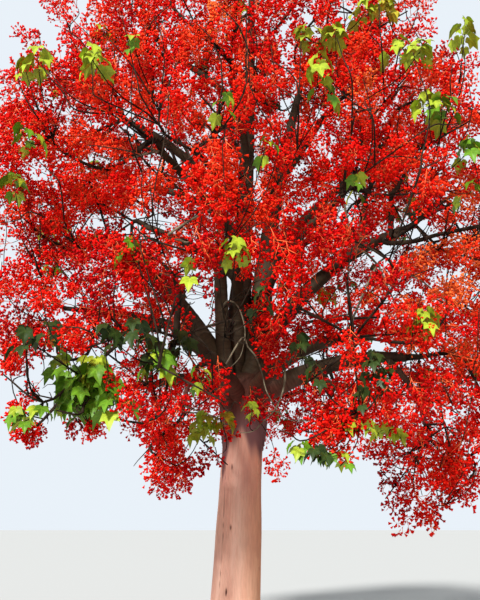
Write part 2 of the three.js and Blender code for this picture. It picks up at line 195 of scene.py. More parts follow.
def limb_points(row, index, grown):
    """Knots of a limb: equal steps along a heading whose rise changes evenly and whose azimuth wanders."""
    if row["parent"] == "trunk":
        start = trunk_axis(row["at"])
    else:
        start = point_along(grown[row["parent"]]["points"], row["at"])
    points = [start + np.array([*row["aside"], 0.0])]
    for step in range(LIMB_STEPS):
        share = (step + 0.5) / LIMB_STEPS
        azimuth = row["azimuth"] + LIMB_WANDER * math.sin(math.radians(360 * share + GOLDEN_ANGLE * index))
        rise = row["rise"][0] + (row["rise"][1] - row["rise"][0]) * share
        points.append(points[-1] + heading(azimuth, rise) * row["length"] / LIMB_STEPS)
    return np.array(points)


def grow_limbs():
    grown = {}
    for index, row in enumerate(LIMBS):
        points = limb_points(row, index, grown)
        radii = np.linspace(row["radius"][0], row["radius"][1], LIMB_STEPS + 1)
        grown[row["name"]] = dict(row, points=points, radii=radii)
    return grown


def limb_stretches(grown):
    """Straight stretches of trunk and limbs, each with its greatest radius, that twigs keep clear of."""
    starts = [trunk_axis(0)]
    ends = [trunk_axis(TRUNK_HEIGHT)]
    radii = [NECK_RADIUS + SWELL_X]
    for row in grown.values():
        starts += list(row["points"][:-1])
        ends += list(row["points"][1:])
        radii += list(row["radii"][:-1])
    return np.array(starts), np.array(ends), np.array(radii)


# Under this the lines count as parallel
LEAST_SLACK = 1e-15


def line_distance(a, b, c, d):
    """The least distance between the straight lines from a to b and from c to d, for whole arrays."""
    ab = b - a
    cd = d - c
    ca = a - c
    aa = (ab * ab).sum(-1)
    cc = (cd * cd).sum(-1)
    ac = (ab * cd).sum(-1)
    af = (ab * ca).sum(-1)
    cf = (cd * ca).sum(-1)
    slack = aa * cc - ac * ac
    s = np.where(slack > LEAST_SLACK, np.clip((ac * cf - af * cc) / np.maximum(slack, LEAST_SLACK), 0, 1), 0)
    t = np.clip((ac * s + cf) / cc, 0, 1)
    s = np.clip((ac * t - af) / np.maximum(aa, LEAST_SLACK), 0, 1)
    return np.linalg.norm(a + ab * s[..., None] - c - cd * t[..., None], axis=-1)


def clear_of_limbs(a, b, stretches, room):
    starts, ends, radii = stretches
    gaps = line_distance(a[:, None], b[:, None], starts[None], ends[None])
    return (gaps > radii[None] + np.reshape(room, (-1, 1))).all(1)


def crown_radius(z):
    rise = np.clip((z - WIDEST_HEIGHT) / (CROWN_TOP - WIDEST_HEIGHT), 0, 1)
    drop = np.maximum(WIDEST_HEIGHT - z, 0) / (WIDEST_HEIGHT - CROWN_FOOT)
    upper = WIDEST_RADIUS * (1 - rise ** DOME_POWER) ** DOME_ROUNDNESS
    lower = WIDEST_RADIUS - (WIDEST_RADIUS - CROWN_FOOT_RADIUS) * drop ** UNDER_POWER
    return np.where(z > WIDEST_HEIGHT, upper, lower)


def place_masses(grown):
    masses = []
    for row in grown.values():
        if row["mass"] is None:
            continue
        tip = row["points"][-1]
        way = unit(tip - row["points"][-2])
        middle = tip + way * MASS_ADVANCE * row["reach"]
        masses.append(dict(name=row["mass"], reach=row["reach"], kind=row["kind"], lowest=row["lowest"],
                           tip=tip, way=way, middle=middle, tip_radius=row["radii"][-1]))
    return masses


def own_space(points, k, masses):
    """True where a point is in mass k's share: nearer in power to its own ball than to any other."""
    middles = np.array([m["middle"] for m in masses])
    reaches = np.array([m["reach"] for m in masses])
    power = ((points[:, None] - middles[None]) ** 2).sum(-1) - reaches ** 2
    spans = np.linalg.norm(middles - middles[k], axis=1)
    others = np.arange(len(masses)) != k
    inside = (power[:, k] <= 0) & (points[:, 2] >= masses[k]["lowest"]) & (points[:, 2] < CROWN_TOP)
    inside &= np.linalg.norm(points[:, :2] - CROWN_AXIS, axis=1) <= crown_radius(points[:, 2])
    return inside & ((power - power[:, k:k + 1] >= MASS_GAP * spans) | ~others).all(1)


# Seeded numbers: each is worked out from the one before by one multiplication and one sum
DRAW_FACTOR = 1664525
DRAW_STEP = 1013904223
DRAW_RANGE = 2 ** 32


def seeded_numbers(seed, count):
    """Numbers from 0 to 1, the same for the same seed."""
    numbers = np.empty(count)
    for i in range(count):
        seed = (seed * DRAW_FACTOR + DRAW_STEP) % DRAW_RANGE
        numbers[i] = seed / DRAW_RANGE
    return numbers


def draw_sprays(mass, seed):
    """Places, axes and lengths of sprays drawn in the cube round a mass, each pointing from the stem."""
    shape = SPRAYS[mass["kind"]]
    u = seeded_numbers(seed, 5 * SPRAY_DRAWS).reshape(-1, 5)
    centre = mass["middle"] + (u[:, :3] - 0.5) * 2 * mass["reach"]
    roll = math.pi * u[:, 3:4]
    length = shape["length"][0] + (shape["length"][1] - shape["length"][0]) * u[:, 4]
    way = unit(centre - mass["tip"])
    way[:, 2] -= shape["sag"]
    way = unit(way)
    flat = unit(UP - way * way[:, 2:])
    flat = flat * np.cos(roll) + np.cross(way, flat) * np.sin(roll)
    return dict(centre=centre, way=way, side=np.cross(flat, way), flat=flat, length=length)


def spray_fits(draws, halves, k, masses, stretches, room):
    """Which draws lie in mass k's own space with all six corners, clear of the limbs."""
    axes = [draws["way"], draws["side"], draws["flat"]]
    fits = np.ones(len(draws["centre"]), bool)
    for axis, half in zip(axes, halves):
        for sign in (1, -1):
            fits &= own_space(draws["centre"] + sign * axis * half[:, None], k, masses)
    ends = axes[0] * halves[0][:, None]
    fits &= clear_of_limbs(draws["centre"] + ends, draws["centre"] - ends, stretches, room)
    return np.flatnonzero(fits)


def spread_out(centres, start, spacing, most):
    """Picks the point nearest to start, then each time the one furthest from those already picked."""
    if len(centres) == 0:
        return np.array([], int)
    gaps = np.full(len(centres), np.inf)
    picked = []
    following = int(np.argmin(np.linalg.norm(centres - start, axis=1)))
    while len(picked) < most and gaps[following] >= spacing:
        picked.append(following)
        gaps = np.minimum(gaps, np.linalg.norm(centres - centres[following], axis=1))
        following = int(np.argmax(gaps))
    return np.array(picked)


def scatter_sprays(k, masses, stretches, seed):
    """The sprays of the solids: draws of mass k that fit, spread evenly through it."""
    mass = masses[k]
    shape = SPRAYS[mass["kind"]]
    draws = draw_sprays(mass, seed)
    half = draws["length"] / 2
    halves = [half, half * shape["width"], half * shape["thickness"]]
    fitting = spray_fits(draws, halves, k, masses, stretches, halves[1] + SPRAY_CLEARANCE)
    picked = spread_out(draws["centre"][fitting], mass["tip"], shape["spacing"], MOST_SPRAYS)
    return draws["centre"][fitting[picked]]


def grow_twigs(mass, sprays, stretches):
    """Knots of a twig tree: the stem's two ends, then each spray from the knot with the shortest way back.

    Returns the knots' points, the parent of each and how many sprays each carries."""
    points = [mass["tip"] + mass["way"] * CLEARANCE, mass["tip"] + mass["way"] * STEM_LENGTH]
    parents = [-1, 0]
    ways = [0.0, 0.0]
    for i in np.argsort(np.linalg.norm(sprays - mass["tip"], axis=1), kind="stable"):
        knots = np.array(points[1:])
        spans = np.linalg.norm(knots - sprays[i], axis=1)
        clear = clear_of_limbs(knots, np.broadcast_to(sprays[i], knots.shape), stretches, TWIG_CLEARANCE)
        if not clear.any():
            continue
        cost = np.where(clear, spans + WAY_BACK_WEIGHT * np.array(ways[1:]), np.inf)
        best = int(np.argmin(cost))
        points.append(sprays[i])
        parents.append(best + 1)
        ways.append(ways[best + 1] + spans[best])
    load = np.array([0, 0] + [1] * (len(points) - 2))
    for i in range(len(points) - 1, 0, -1):
        load[parents[i]] += load[i]
    return np.array(points), np.array(parents), load


def twig_chains(parents, load):
    """Runs of knots: the child that carries most goes on along its parent's twig, the others branch off."""
    chains = []
    waiting = [[0]]
    while waiting:
        chain = waiting.pop()
        while True:
            children = sorted(np.flatnonzero(parents == chain[-1]), key=lambda c: -load[c])
            if not children:
                break
            waiting += [[chain[-1], c] for c in children[1:]]
            chain.append(children[0])
        chains.append(chain)
    return chains


# Surfaces

STEEP = 0.9


def smooth_path(points, steps):
    """A curve through the points: between two of them it is a cubic whose slopes follow their neighbours."""
    ends = np.vstack([2 * points[0] - points[1], points, 2 * points[-1] - points[-2]])
    t = np.linspace(0, 1, steps + 1)[:-1, None, None]
    p0, p1, p2, p3 = ends[:-3], ends[1:-2], ends[2:-1], ends[3:]
    curve = 2 * p1 + (p2 - p0) * t + (2 * p0 - 5 * p1 + 4 * p2 - p3) * t ** 2
    curve = (curve + (3 * p1 - p0 - 3 * p2 + p3) * t ** 3) / 2
    return np.vstack([curve.transpose(1, 0, 2).reshape(-1, 3), points[-1:]])


def away_from(ways):
    """A vector well away from each way: up, or +X where the way is steep."""
    return np.where(np.abs(ways[..., 2:]) > STEEP, np.array([1.0, 0.0, 0.0]), UP)


def path_frames(paths):
    """Tangent, across and sideways at each point of many paths: across is carried along without twist."""
    ahead = np.concatenate([paths[:, 1:], paths[:, -1:]], axis=1)
    behind = np.concatenate([paths[:, :1], paths[:, :-1]], axis=1)
    tangents = unit(ahead - behind)
    across = np.empty_like(paths)
    guide = away_from(tangents[:, 0])
    for i in range(paths.shape[1]):
        guide = unit(guide - tangents[:, i] * (guide * tangents[:, i]).sum(-1, keepdims=True))
        across[:, i] = guide
    return tangents, across, np.cross(across, tangents)


def grid_faces(rows, columns):
    """Triangles of a tube's grid of rows and columns: it closes round, and its ends are closed flat."""
    row = np.arange(rows - 1)[:, None] * columns
    column = np.arange(columns)[None]
    beside = (column + 1) % columns
    a, b = row + column, row + beside
    c, d = a + columns, b + columns
    wall = np.concatenate([np.stack([a, c, b], -1).reshape(-1, 3), np.stack([b, c, d], -1).reshape(-1, 3)])
    fan = np.arange(1, columns - 1)
    foot = np.stack([np.zeros_like(fan), fan, fan + 1], -1)
    head = np.stack([np.zeros_like(fan), fan + 1, fan], -1) + (rows - 1) * columns
    return np.concatenate([wall, foot, head])


def ring_angles(sides):
    return np.arange(sides) * 2 * math.pi / sides


def ring_ways(across, sideways, angles):
    """Unit vectors out of a path at each angle from across towards sideways."""
    return across[..., None, :] * np.cos(angles)[:, None] + sideways[..., None, :] * np.sin(angles)[:, None]


def copies(faces, count, corners):
    """The faces of one shell for count shells in a row, each of that many corners."""
    return (faces[None] + (np.arange(count) * corners)[:, None, None]).reshape(-1, 3)


def tubes(paths, radii, sides):
    """Round tubes along many paths at once: each ring stands off its path by the radius there."""
    tangents, across, sideways = path_frames(paths)
    points = paths[:, :, None] + ring_ways(across, sideways, ring_angles(sides)) * radii[:, :, None, None]
    count, rows = paths.shape[:2]
    return points.reshape(-1, 3), copies(grid_faces(rows, sides), count, rows * sides)


def join(shells):
    """Many (points, faces) shells as one."""
    starts = np.cumsum([0] + [len(points) for points, faces in shells[:-1]])
    points = np.concatenate([points for points, faces in shells])
    return points, np.concatenate([shell[1] + start for shell, start in zip(shells, starts)])


def add_object(name, data):
    thing = bpy.data.objects.new(name, data)
    bpy.context.scene.collection.objects.link(thing)
    return thing


def add_piece(name, shell, material, nodes, attributes=()):
    """A smooth mesh from a shell, riding on the tree and standing for the given nodes."""
    points, faces = shell
    mesh = bpy.data.meshes.new(name)
    mesh.vertices.add(len(points))
    mesh.vertices.foreach_set("co", points.astype(np.float32).ravel())
    mesh.loops.add(faces.size)
    mesh.loops.foreach_set("vertex_index", faces.astype(np.int32).ravel())
    mesh.polygons.add(len(faces))
    mesh.polygons.foreach_set("loop_start", np.arange(0, faces.size, 3, dtype=np.int32))
    mesh.polygons.foreach_set("use_smooth", np.ones(len(faces), bool))
    for label, values in attributes:
        kind, field = ("FLOAT_VECTOR", "vector") if values.ndim == 2 else ("FLOAT", "value")
        attribute = mesh.attributes.new(label, kind, "POINT")
        attribute.data.foreach_set(field, values.astype(np.float32).ravel())
    mesh.update(calc_edges=True)
    mesh.validate()
    mesh.materials.append(material)
    piece = add_object(name, mesh)
    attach(piece, "root")
    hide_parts(*nodes)
    return piece


# Bark

TRUNK_SIDES = 150
TRUNK_RINGS = 190
RING_CROWDING = 1.12
FINEST_AZIMUTH = 238
SIDE_CROWDING = 0.62
TRUNK_DOME = 0.24
TRUNK_ROOF = 2.98
LEAST_DOME = 1e-4

# Smooth relief: how many waves, how often they run round the limb, how fast they drift along it, how deep
GRAINS = {
    "lumps": dict(waves=7, rounds=(2, 6), rate=1.5, depth=0.005),
    "fibres": dict(waves=26, rounds=(18, 60), rate=2, depth=0.0016),
    # The lower edge of the mauve painted shade of the crown wavers with this relief
    "mauve_shade_edge": dict(waves=8, rounds=(2, 12), rate=1.5, depth=0.05),
    "limb": dict(waves=5, rounds=(1, 5), rate=2, depth=0.05),
}
GRAIN_DRIFT = 1.6
GRAIN_SWAY = 1.4
GRAIN_SWAY_RATE = (0.8, 3.2)
LUMPS_FROM = 0.4
WRINKLE_WAVES = 6
WRINKLE_SPREAD = (0.6, 1.7)
WRINKLE_BEND = 0.9
WRINKLE_DEPTH = 0.0022
TRUNK_WRINKLE = 0.03
TRUNK_WRINKLES_FROM = 2.25
TRUNK_WRINKLES_FADE = 0.4
LEAST_WRINKLES = 0.12

# The long fissure: azimuth and height of its ends, its width, depth and how it sways and breaks up
FISSURE_FOOT = (239.0, 0.0)
FISSURE_HEAD = (216.0, 2.55)
FISSURE_WIDTH = 0.006
FISSURE_DEPTH = 0.01
FISSURE_CUT = 0.6
FISSURE_SWAY = 2.5
FISSURE_SWAY_RATE = 5.1
FISSURE_BREAKS = 31
FISSURE_BREAK_SHIFT = 13
FISSURE_BREAK_SWAY = 3
# Heights from which it fades in and to which it fades out, and how far each fade runs
FISSURE_SPAN = (0.25, 2.75)
FISSURE_FADES = (0.5, 0.2)
# Scars: azimuth, height and half height
SCARS = [(243, 2.008, 0.026), (249, 1.438, 0.024), (247, 0.851, 0.034), (340, 1.054, 0.016),
         (118, 1.62, 0.024), (30, 1.25, 0.03), (165, 2.05, 0.022), (72, 0.7, 0.026)]
SCAR_WIDTH = 0.3
# The seam round the trunk: height, how far and where it tilts, half width and depth
SEAM_HEIGHT = 1.93
SEAM_TILT = 0.012
SEAM_AZIMUTH = 5.2
SEAM_WIDTH = 0.006
SEAM_DEPTH = 0.003

# The mauve painted shade of the crown on the trunk below the fork: the height of its lower edge, how soft
# that is, and where it dips:
# azimuth, half width in degrees and depth
MAUVE_SHADE_EDGE = 2.29
MAUVE_SHADE_FADE = 0.2
MAUVE_SHADE_DIPS = [(208, 15, 0.36), (318, 34, 0.16), (60, 30, 0.2), (130, 26, 0.34)]
# Painted shade on the trunk's right side, away from the key light: the azimuth where it is deepest and how
# fast it fades round the trunk
SIDE_SHADE_AZIMUTH = 345
SIDE_SHADE_POWER = 1.5


def grain(angle, along, rng, kind):
    """Smooth relief that closes round a limb: waves round it whose phases drift as they run along."""
    shape = GRAINS[kind]
    along = along * shape["rate"]
    relief = np.zeros(np.broadcast(angle, along).shape)
    for n in rng.integers(*shape["rounds"], shape["waves"]):
        drift = rng.uniform(-GRAIN_DRIFT, GRAIN_DRIFT) * along
        drift = drift + GRAIN_SWAY * np.sin(rng.uniform(*GRAIN_SWAY_RATE) * along + rng.uniform(*ANY_PHASE))
        relief += np.cos(n * angle + drift + rng.uniform(*ANY_PHASE)) / math.sqrt(shape["waves"])
    return relief * shape["depth"]


def wrinkles(angle, along, rng, spacing):
    """Fine rings round a limb: a sum of waves along it, each bent a little as it goes round."""
    relief = np.zeros(np.broadcast(angle, along).shape)
    for share in rng.uniform(*WRINKLE_SPREAD, WRINKLE_WAVES):
        bend = WRINKLE_BEND * np.sin(angle * rng.integers(1, 4) + rng.uniform(*ANY_PHASE))
        relief += np.cos(2 * math.pi * along / (spacing * share) + bend + rng.uniform(*ANY_PHASE))
    return relief / math.sqrt(WRINKLE_WAVES) * WRINKLE_DEPTH


def degrees_off(angle, azimuth):
    """Degrees from an azimuth to each angle, from -180 to 180."""
    return (np.degrees(angle) - azimuth + 180) % 360 - 180


def marks_on_trunk(angle, height, radius):
    """How deep the long fissure and the small scars cut, from 0 to 1, at each point of the trunk."""
    share = (height - FISSURE_FOOT[1]) / (FISSURE_HEAD[1] - FISSURE_FOOT[1])
    course = FISSURE_FOOT[0] + (FISSURE_HEAD[0] - FISSURE_FOOT[0]) * share
    off = degrees_off(angle, course + FISSURE_SWAY * np.sin(height * FISSURE_SWAY_RATE))
    fade = np.clip((height - FISSURE_SPAN[0]) / FISSURE_FADES[0], 0, 1)
    fade = fade * np.clip((FISSURE_SPAN[1] - height) / FISSURE_FADES[1], 0, 1)
    sway = FISSURE_BREAK_SWAY * np.sin(height * FISSURE_BREAK_SHIFT)
    broken = 0.5 + 0.5 * np.sin(height * FISSURE_BREAKS + sway)
    cut = FISSURE_CUT * np.exp(-(np.radians(off) * radius / FISSURE_WIDTH) ** 2) * fade * broken
    for azimuth, z, size in SCARS:
        beside = np.radians(degrees_off(angle, azimuth)) * radius
        mark = np.exp(-((beside / (size * SCAR_WIDTH)) ** 2 + ((height - z) / size) ** 2) ** 2)
        cut = np.maximum(cut, mark)
    return cut


def mauve_shade_on_trunk(angle, height, rng):
    """How much mauve painted shade of the crown lies on the bark, from 0 to 1: above an edge that wavers and
    dips lower on some sides.
    """
    edge = MAUVE_SHADE_EDGE + grain(angle, height, rng, "mauve_shade_edge")
    for azimuth, half_width, depth in MAUVE_SHADE_DIPS:
        edge = edge - depth * np.exp(-(degrees_off(angle, azimuth) / half_width) ** 2)
    share = np.clip((height - edge) / MAUVE_SHADE_FADE + 0.5, 0, 1)
    return share ** 2 * (3 - 2 * share)


def trunk_relief(angle, z, rng):
    """Lumps and fibres, fine rings towards the fork, and the seam."""
    relief = grain(angle, z, rng, "lumps") * np.clip(z / LUMPS_FROM, 0, 1) + grain(angle, z, rng, "fibres")
    ringed = np.clip((z - TRUNK_WRINKLES_FROM) / TRUNK_WRINKLES_FADE, LEAST_WRINKLES, 1)
    relief = relief + wrinkles(angle, z, rng, TRUNK_WRINKLE) * ringed
    from_seam = z - SEAM_HEIGHT - SEAM_TILT * np.cos(angle - SEAM_AZIMUTH)
    return relief - SEAM_DEPTH * np.exp(-(from_seam / SEAM_WIDTH) ** 2)


def trunk_shell():
    """The trunk as a grid of angle and height: the solid's radii, rounded in at the fork, with bark relief.

    Also gives how deep marks cut, how much mauve painted shade of the crown lies on the bark, and how much
    painted shade darkens its right side, at each point."""
    rng = np.random.default_rng(TRUNK_SEED)
    z = TRUNK_ROOF * np.linspace(0, 1, TRUNK_RINGS)[:, None] ** RING_CROWDING
    even = ring_angles(TRUNK_SIDES)[None]
    angle = even - SIDE_CROWDING * np.sin(even - math.radians(FINEST_AZIMUTH))
    taper = FOOT_RADIUS + (NECK_RADIUS - FOOT_RADIUS) * np.minimum(z / SWELL_FROM, 1)
    flare = np.exp(-z / FLARE_HEIGHT)
    swell = np.clip((z - SWELL_FROM) / (TRUNK_HEIGHT - SWELL_FROM), 0, 1) ** SWELL_POWER
    spread = 1 + FLARE_LOBE_DEPTH * np.cos(FLARE_LOBES * angle + FLARE_LOBE_PHASE) * flare
    dome = 1 - np.clip((z - TRUNK_ROOF + TRUNK_DOME) / TRUNK_DOME, 0, 1) ** 2
    cut = marks_on_trunk(angle, z, taper)
    relief = trunk_relief(angle, z, rng) - cut * np.where(z > 0, FISSURE_DEPTH, 0)

    def out(swell_reach):
        smooth = (taper + FLARE_RADIUS * flare + swell_reach * swell) * spread
        return (smooth + relief) * np.sqrt(np.clip(dome, LEAST_DOME, 1))

    x = TRUNK_LEAN * z + out(SWELL_X) * np.cos(angle)
    y = out(SWELL_Y) * np.sin(angle)
    points = np.stack([x, y, np.broadcast_to(z, x.shape)], -1).reshape(-1, 3)
    # Painted shade: how much the trunk's right side, away from the key light, is darkened
    side_shade = np.clip(np.cos(angle - math.radians(SIDE_SHADE_AZIMUTH)), 0, 1) ** SIDE_SHADE_POWER
    # Below the fork, the mauve painted shade of the crown
    looks = {"cut": cut, "mauve_shade": mauve_shade_on_trunk(angle, z, rng), "side_shade": side_shade}
    looks = [(label, np.broadcast_to(values, x.shape).ravel()) for label, values in looks.items()]
    return (points, grid_faces(TRUNK_RINGS, TRUNK_SIDES)[:, ::-1]), looks


LIMB_RING_STEP = 0.032
LIMB_FLARE = 0.5
LIMB_FLARE_REACH = 1.6
LIMB_WRINKLE = 0.035
THICK_LIMB = 0.1
LIMB_ROOT_DEPTH = 0.45
LIMB_ROOT_ASIDE = 0.55
# Sides of a limb that is thicker than each radius
LIMB_SIDES = ((THICK_LIMB, 26), (0.06, 18), (0.0, 12))


def limb_knots(row):
    """Knots of a limb's curve and its radius at each: out of the trunk it rises from deep inside it."""
    points = row["points"]
    radii = row["radii"]
    if row["parent"] != "trunk":
        return points, radii
    root = trunk_axis(row["at"] - LIMB_ROOT_DEPTH)
    root[:2] += np.array(row["aside"]) * LIMB_ROOT_ASIDE
    return np.vstack([root, points]), np.concatenate([radii[:1], radii])


def lengths_along(path):
    """How far along a path each of its points is."""
    return np.concatenate([[0.0], np.cumsum(np.linalg.norm(np.diff(path, axis=0), axis=1))])


def limb_shell(row, index):
    """A limb as a profile along its curve: an even taper, lumps, fine rings, and a flare on another limb.

    Also gives each point's place on the bark: round the limb and along it."""
    rng = np.random.default_rng(LIMB_SEED + index)
    steps = max(3, int(round(row["length"] / LIMB_STEPS / LIMB_RING_STEP)))
    knots, knot_radii = limb_knots(row)
    path = smooth_path(knots, steps)
    along = lengths_along(path)
    radius = np.interp(np.arange(len(path)) / steps, np.arange(len(knots)), knot_radii)
    base = row["radius"][0]
    if row["parent"] != "trunk":
        radius = radius * (1 + LIMB_FLARE * np.exp(-along / (base * LIMB_FLARE_REACH)))
    angles = ring_angles(next(sides for thickness, sides in LIMB_SIDES if base > thickness))
    along = along[:, None]
    radius = radius[:, None]
    relief = grain(angles[None], along, rng, "limb") * radius
    relief = relief + wrinkles(angles[None], along, rng, LIMB_WRINKLE) * min(1.0, base / THICK_LIMB)
    tangents, across, sideways = (a[0] for a in path_frames(path[None]))
    points = path[:, None] + ring_ways(across, sideways, angles) * (radius + relief)[..., None]
    place = [radius * np.cos(angles), radius * np.sin(angles), np.broadcast_to(along + index, relief.shape)]
    return (points.reshape(-1, 3), grid_faces(len(path), len(angles))), np.stack(place, -1).reshape(-1, 3)


# Twigs and shoots

TWIG_STEPS = 4
TWIG_SIDES = 5
TWIG_END_SHARE = 0.7
STEM_ROOT_DEPTH = 0.04
WAY_BACK_SHARE = 0.3
FINE_TWIG_POINTS = 6
FINE_TWIG_SIDES = 3
FINE_TWIG_RADII = (0.007, 0.0035)
FINE_TWIG_BEND = 0.35
FINE_TWIG_ROOT_SHARE = 0.9
FINE_TWIG_MARGIN = 0.16
SHOOT_RADII = (0.01, 0.0045)
LEAST_RADIUS = 0.4
LEAST_HELD = 0.05

# Bare shoots: how many, from which share of the crown's radius, where they start and end, and how they lean
BARE_SHOOTS = 170
BARE_SHOOTS_FROM = 0.66
BARE_SHOOT_FOOT = 0.55
BARE_SHOOT_OUT = 0.14
BARE_SHOOT_UP = 0.24
BARE_SHOOT_RISES = (0.3, 1.3)
BARE_SHOOT_LEANS = (-0.2, 0.8)
BARE_SHOOT_TWIST = 0.25
BARE_SHOOT_BEND = 0.5


def twig_tree(mass, sprays, stretches):
    """Curved twigs through the knots of a mass: paths, radii and each point's way back to the stem."""
    points, parents, load = grow_twigs(mass, sprays, stretches)
    radii = TWIG_TIP_RADIUS * np.sqrt(np.maximum(load, 1))
    way_back = np.zeros(len(points))
    for i in range(1, len(points)):
        way_back[i] = way_back[parents[i]] + np.linalg.norm(points[i] - points[parents[i]])
    twigs = []
    for chain in twig_chains(parents, load):
        knots = points[chain]
        if chain[0] == 0:
            knots[0] = mass["tip"] - mass["way"] * STEM_ROOT_DEPTH
        path = smooth_path(knots, TWIG_STEPS)
        sizes = radii[chain]
        sizes[0] = mass["tip_radius"] if chain[0] == 0 else radii[chain[1]]
        sizes[-1] *= TWIG_END_SHARE
        places = np.arange(len(path)) / TWIG_STEPS
        knot_places = np.arange(len(chain))
        twigs.append(dict(path=path, radii=np.interp(places, knot_places, sizes),
                          way_back=np.interp(places, knot_places, way_back[chain])))
    return twigs


def nearest_on_twigs(targets, twigs):
    """For each target the twig point with the least distance and way back, with the twig's course there."""
    points = np.concatenate([t["path"][1:] for t in twigs])
    course = np.concatenate([unit(t["path"][1:] - t["path"][:-1]) for t in twigs])
    radii = np.concatenate([t["radii"][1:] for t in twigs])
    way_back = np.concatenate([t["way_back"][1:] for t in twigs])
    spans = np.linalg.norm(targets[:, None] - points[None], axis=-1)
    best = np.argmin(spans + WAY_BACK_SHARE * way_back[None], axis=1)
    return points[best], course[best], radii[best]


def held_in(points, margin):
    """Points drawn in towards the crown's axis until they are a margin inside its outline."""
    out = points[:, :2] - CROWN_AXIS
    reach = np.linalg.norm(out, axis=1)
    most = np.maximum(crown_radius(points[:, 2]) - margin, LEAST_HELD)
    held = CROWN_AXIS + out * np.minimum(1, most / reach)[:, None]
    return np.column_stack([held, np.minimum(points[:, 2], CROWN_TOP - margin)])


def share_of_radius(points):
    """How far out of the crown's axis each point is, as a share of the crown's radius at its height."""
    away = np.linalg.norm(points[:, :2] - CROWN_AXIS, axis=1)
    return away / np.maximum(crown_radius(points[:, 2]), LEAST_RADIUS)


def fine_twigs(roots, ends, ways, bend=FINE_TWIG_BEND, radii=FINE_TWIG_RADII):
    """Thin tubes from roots on the twigs to what they carry.

    Their curves are cubics that leave along the twig and arrive along ways, and they taper from no more
    than the twig's radius."""
    starts, courses, root_radii = roots
    span = np.linalg.norm(ends - starts, axis=1, keepdims=True)
    p1 = starts + unit(courses + unit(ends - starts)) * span * FINE_TWIG_BEND
    p2 = ends - ways * span * bend
    t = np.linspace(0, 1, FINE_TWIG_POINTS)[None, :, None]
    p0, p1, p2, p3 = (p[:, None] for p in (starts, p1, p2, ends))
    paths = p0 * (1 - t) ** 3 + 3 * p1 * t * (1 - t) ** 2 + 3 * p2 * t ** 2 * (1 - t) + p3 * t ** 3
    paths = held_in(paths.reshape(-1, 3), FINE_TWIG_MARGIN).reshape(paths.shape)
    first = np.minimum(radii[0], root_radii * FINE_TWIG_ROOT_SHARE)[:, None]
    return tubes(paths, first + (radii[1] - first) * t[..., 0], FINE_TWIG_SIDES)


def bare_shoots(twigs, centres):
    """Long thin shoots that leave the twigs under the outer panicles and stand up just outside them."""
    rng = np.random.default_rng(SHOOT_SEED)
    outer = centres[share_of_radius(centres) > BARE_SHOOTS_FROM]
    outer = outer[rng.permutation(len(outer))[:BARE_SHOOTS]]
    out = np.column_stack([unit(outer[:, :2] - CROWN_AXIS), np.zeros(len(outer))])
    rise = BARE_SHOOT_UP * rng.uniform(*BARE_SHOOT_RISES, len(outer))
    ends = held_in(outer + out * BARE_SHOOT_OUT + UP * rise[:, None], FINE_TWIG_MARGIN)
    lean = out * rng.uniform(*BARE_SHOOT_LEANS, len(outer))[:, None]
    ways = unit(UP + lean + rng.normal(size=outer.shape) * BARE_SHOOT_TWIST)
    roots = nearest_on_twigs(outer - UP * BARE_SHOOT_FOOT, twigs)
    return fine_twigs(roots, ends, ways, BARE_SHOOT_BEND, SHOOT_RADII)


# Panicles

PANICLE_LENGTH = 0.42
PANICLE_SPACING = 0.17
MOST_PANICLES = 60
PANICLE_ROOM = 0.1
# Half sizes of a panicle's room as shares of half a spray's length, and its own length as a share of that
PANICLE_SCALE = (0.62, 0.5, 0.45)
PANICLE_FILL = 1.1
PANICLE_KINDS = 7
PANICLE_MARGIN = 0.285
# The stalk: its ends as shares of a panicle's length, and its radii from foot to tip
STALK_SPAN = (-0.02, 0.96)
STALK_RADII = np.array([0.0035, 0.0028, 0.0021, 0.00105])

BRANCHLETS = 13
BRANCHLET_SPAN = (0.08, 0.96)
BRANCHLET_SPREAD = 52
SPREAD_CHANGE = 9
BRANCHLET_RADIUS = 0.0042
# A branchlet's length as a share of the panicle's: at the tip, how much more at the foot, and by what power
BRANCHLET_LENGTH = (0.1, 0.36, 0.7)
BRANCHLET_CHANGE = (0.8, 1.15)

BELLS = 108
BELL_LENGTH = 0.036
BELL_RADIUS = 0.0145
BELL_SIZES = (0.65, 1.2)
# Bells hang from this share of a branchlet outwards, crowded by a power towards its end
BELLS_FROM = 0.3
BELL_CROWDING = 0.8
BELL_OFF = (0.0, 0.03)
BELL_AHEAD = 0.7
BELL_LOOSE = 0.95
# What a short branchlet carries beyond its length's share of the bells
LEAST_CARRIED = 0.03

SPIKE_SIDES = 3
SPIKE_CORNERS = SPIKE_SIDES + 1
SPIKE_FACES = np.array([[0, 2, 1], [0, 1, 3], [1, 2, 3], [2, 0, 3]])


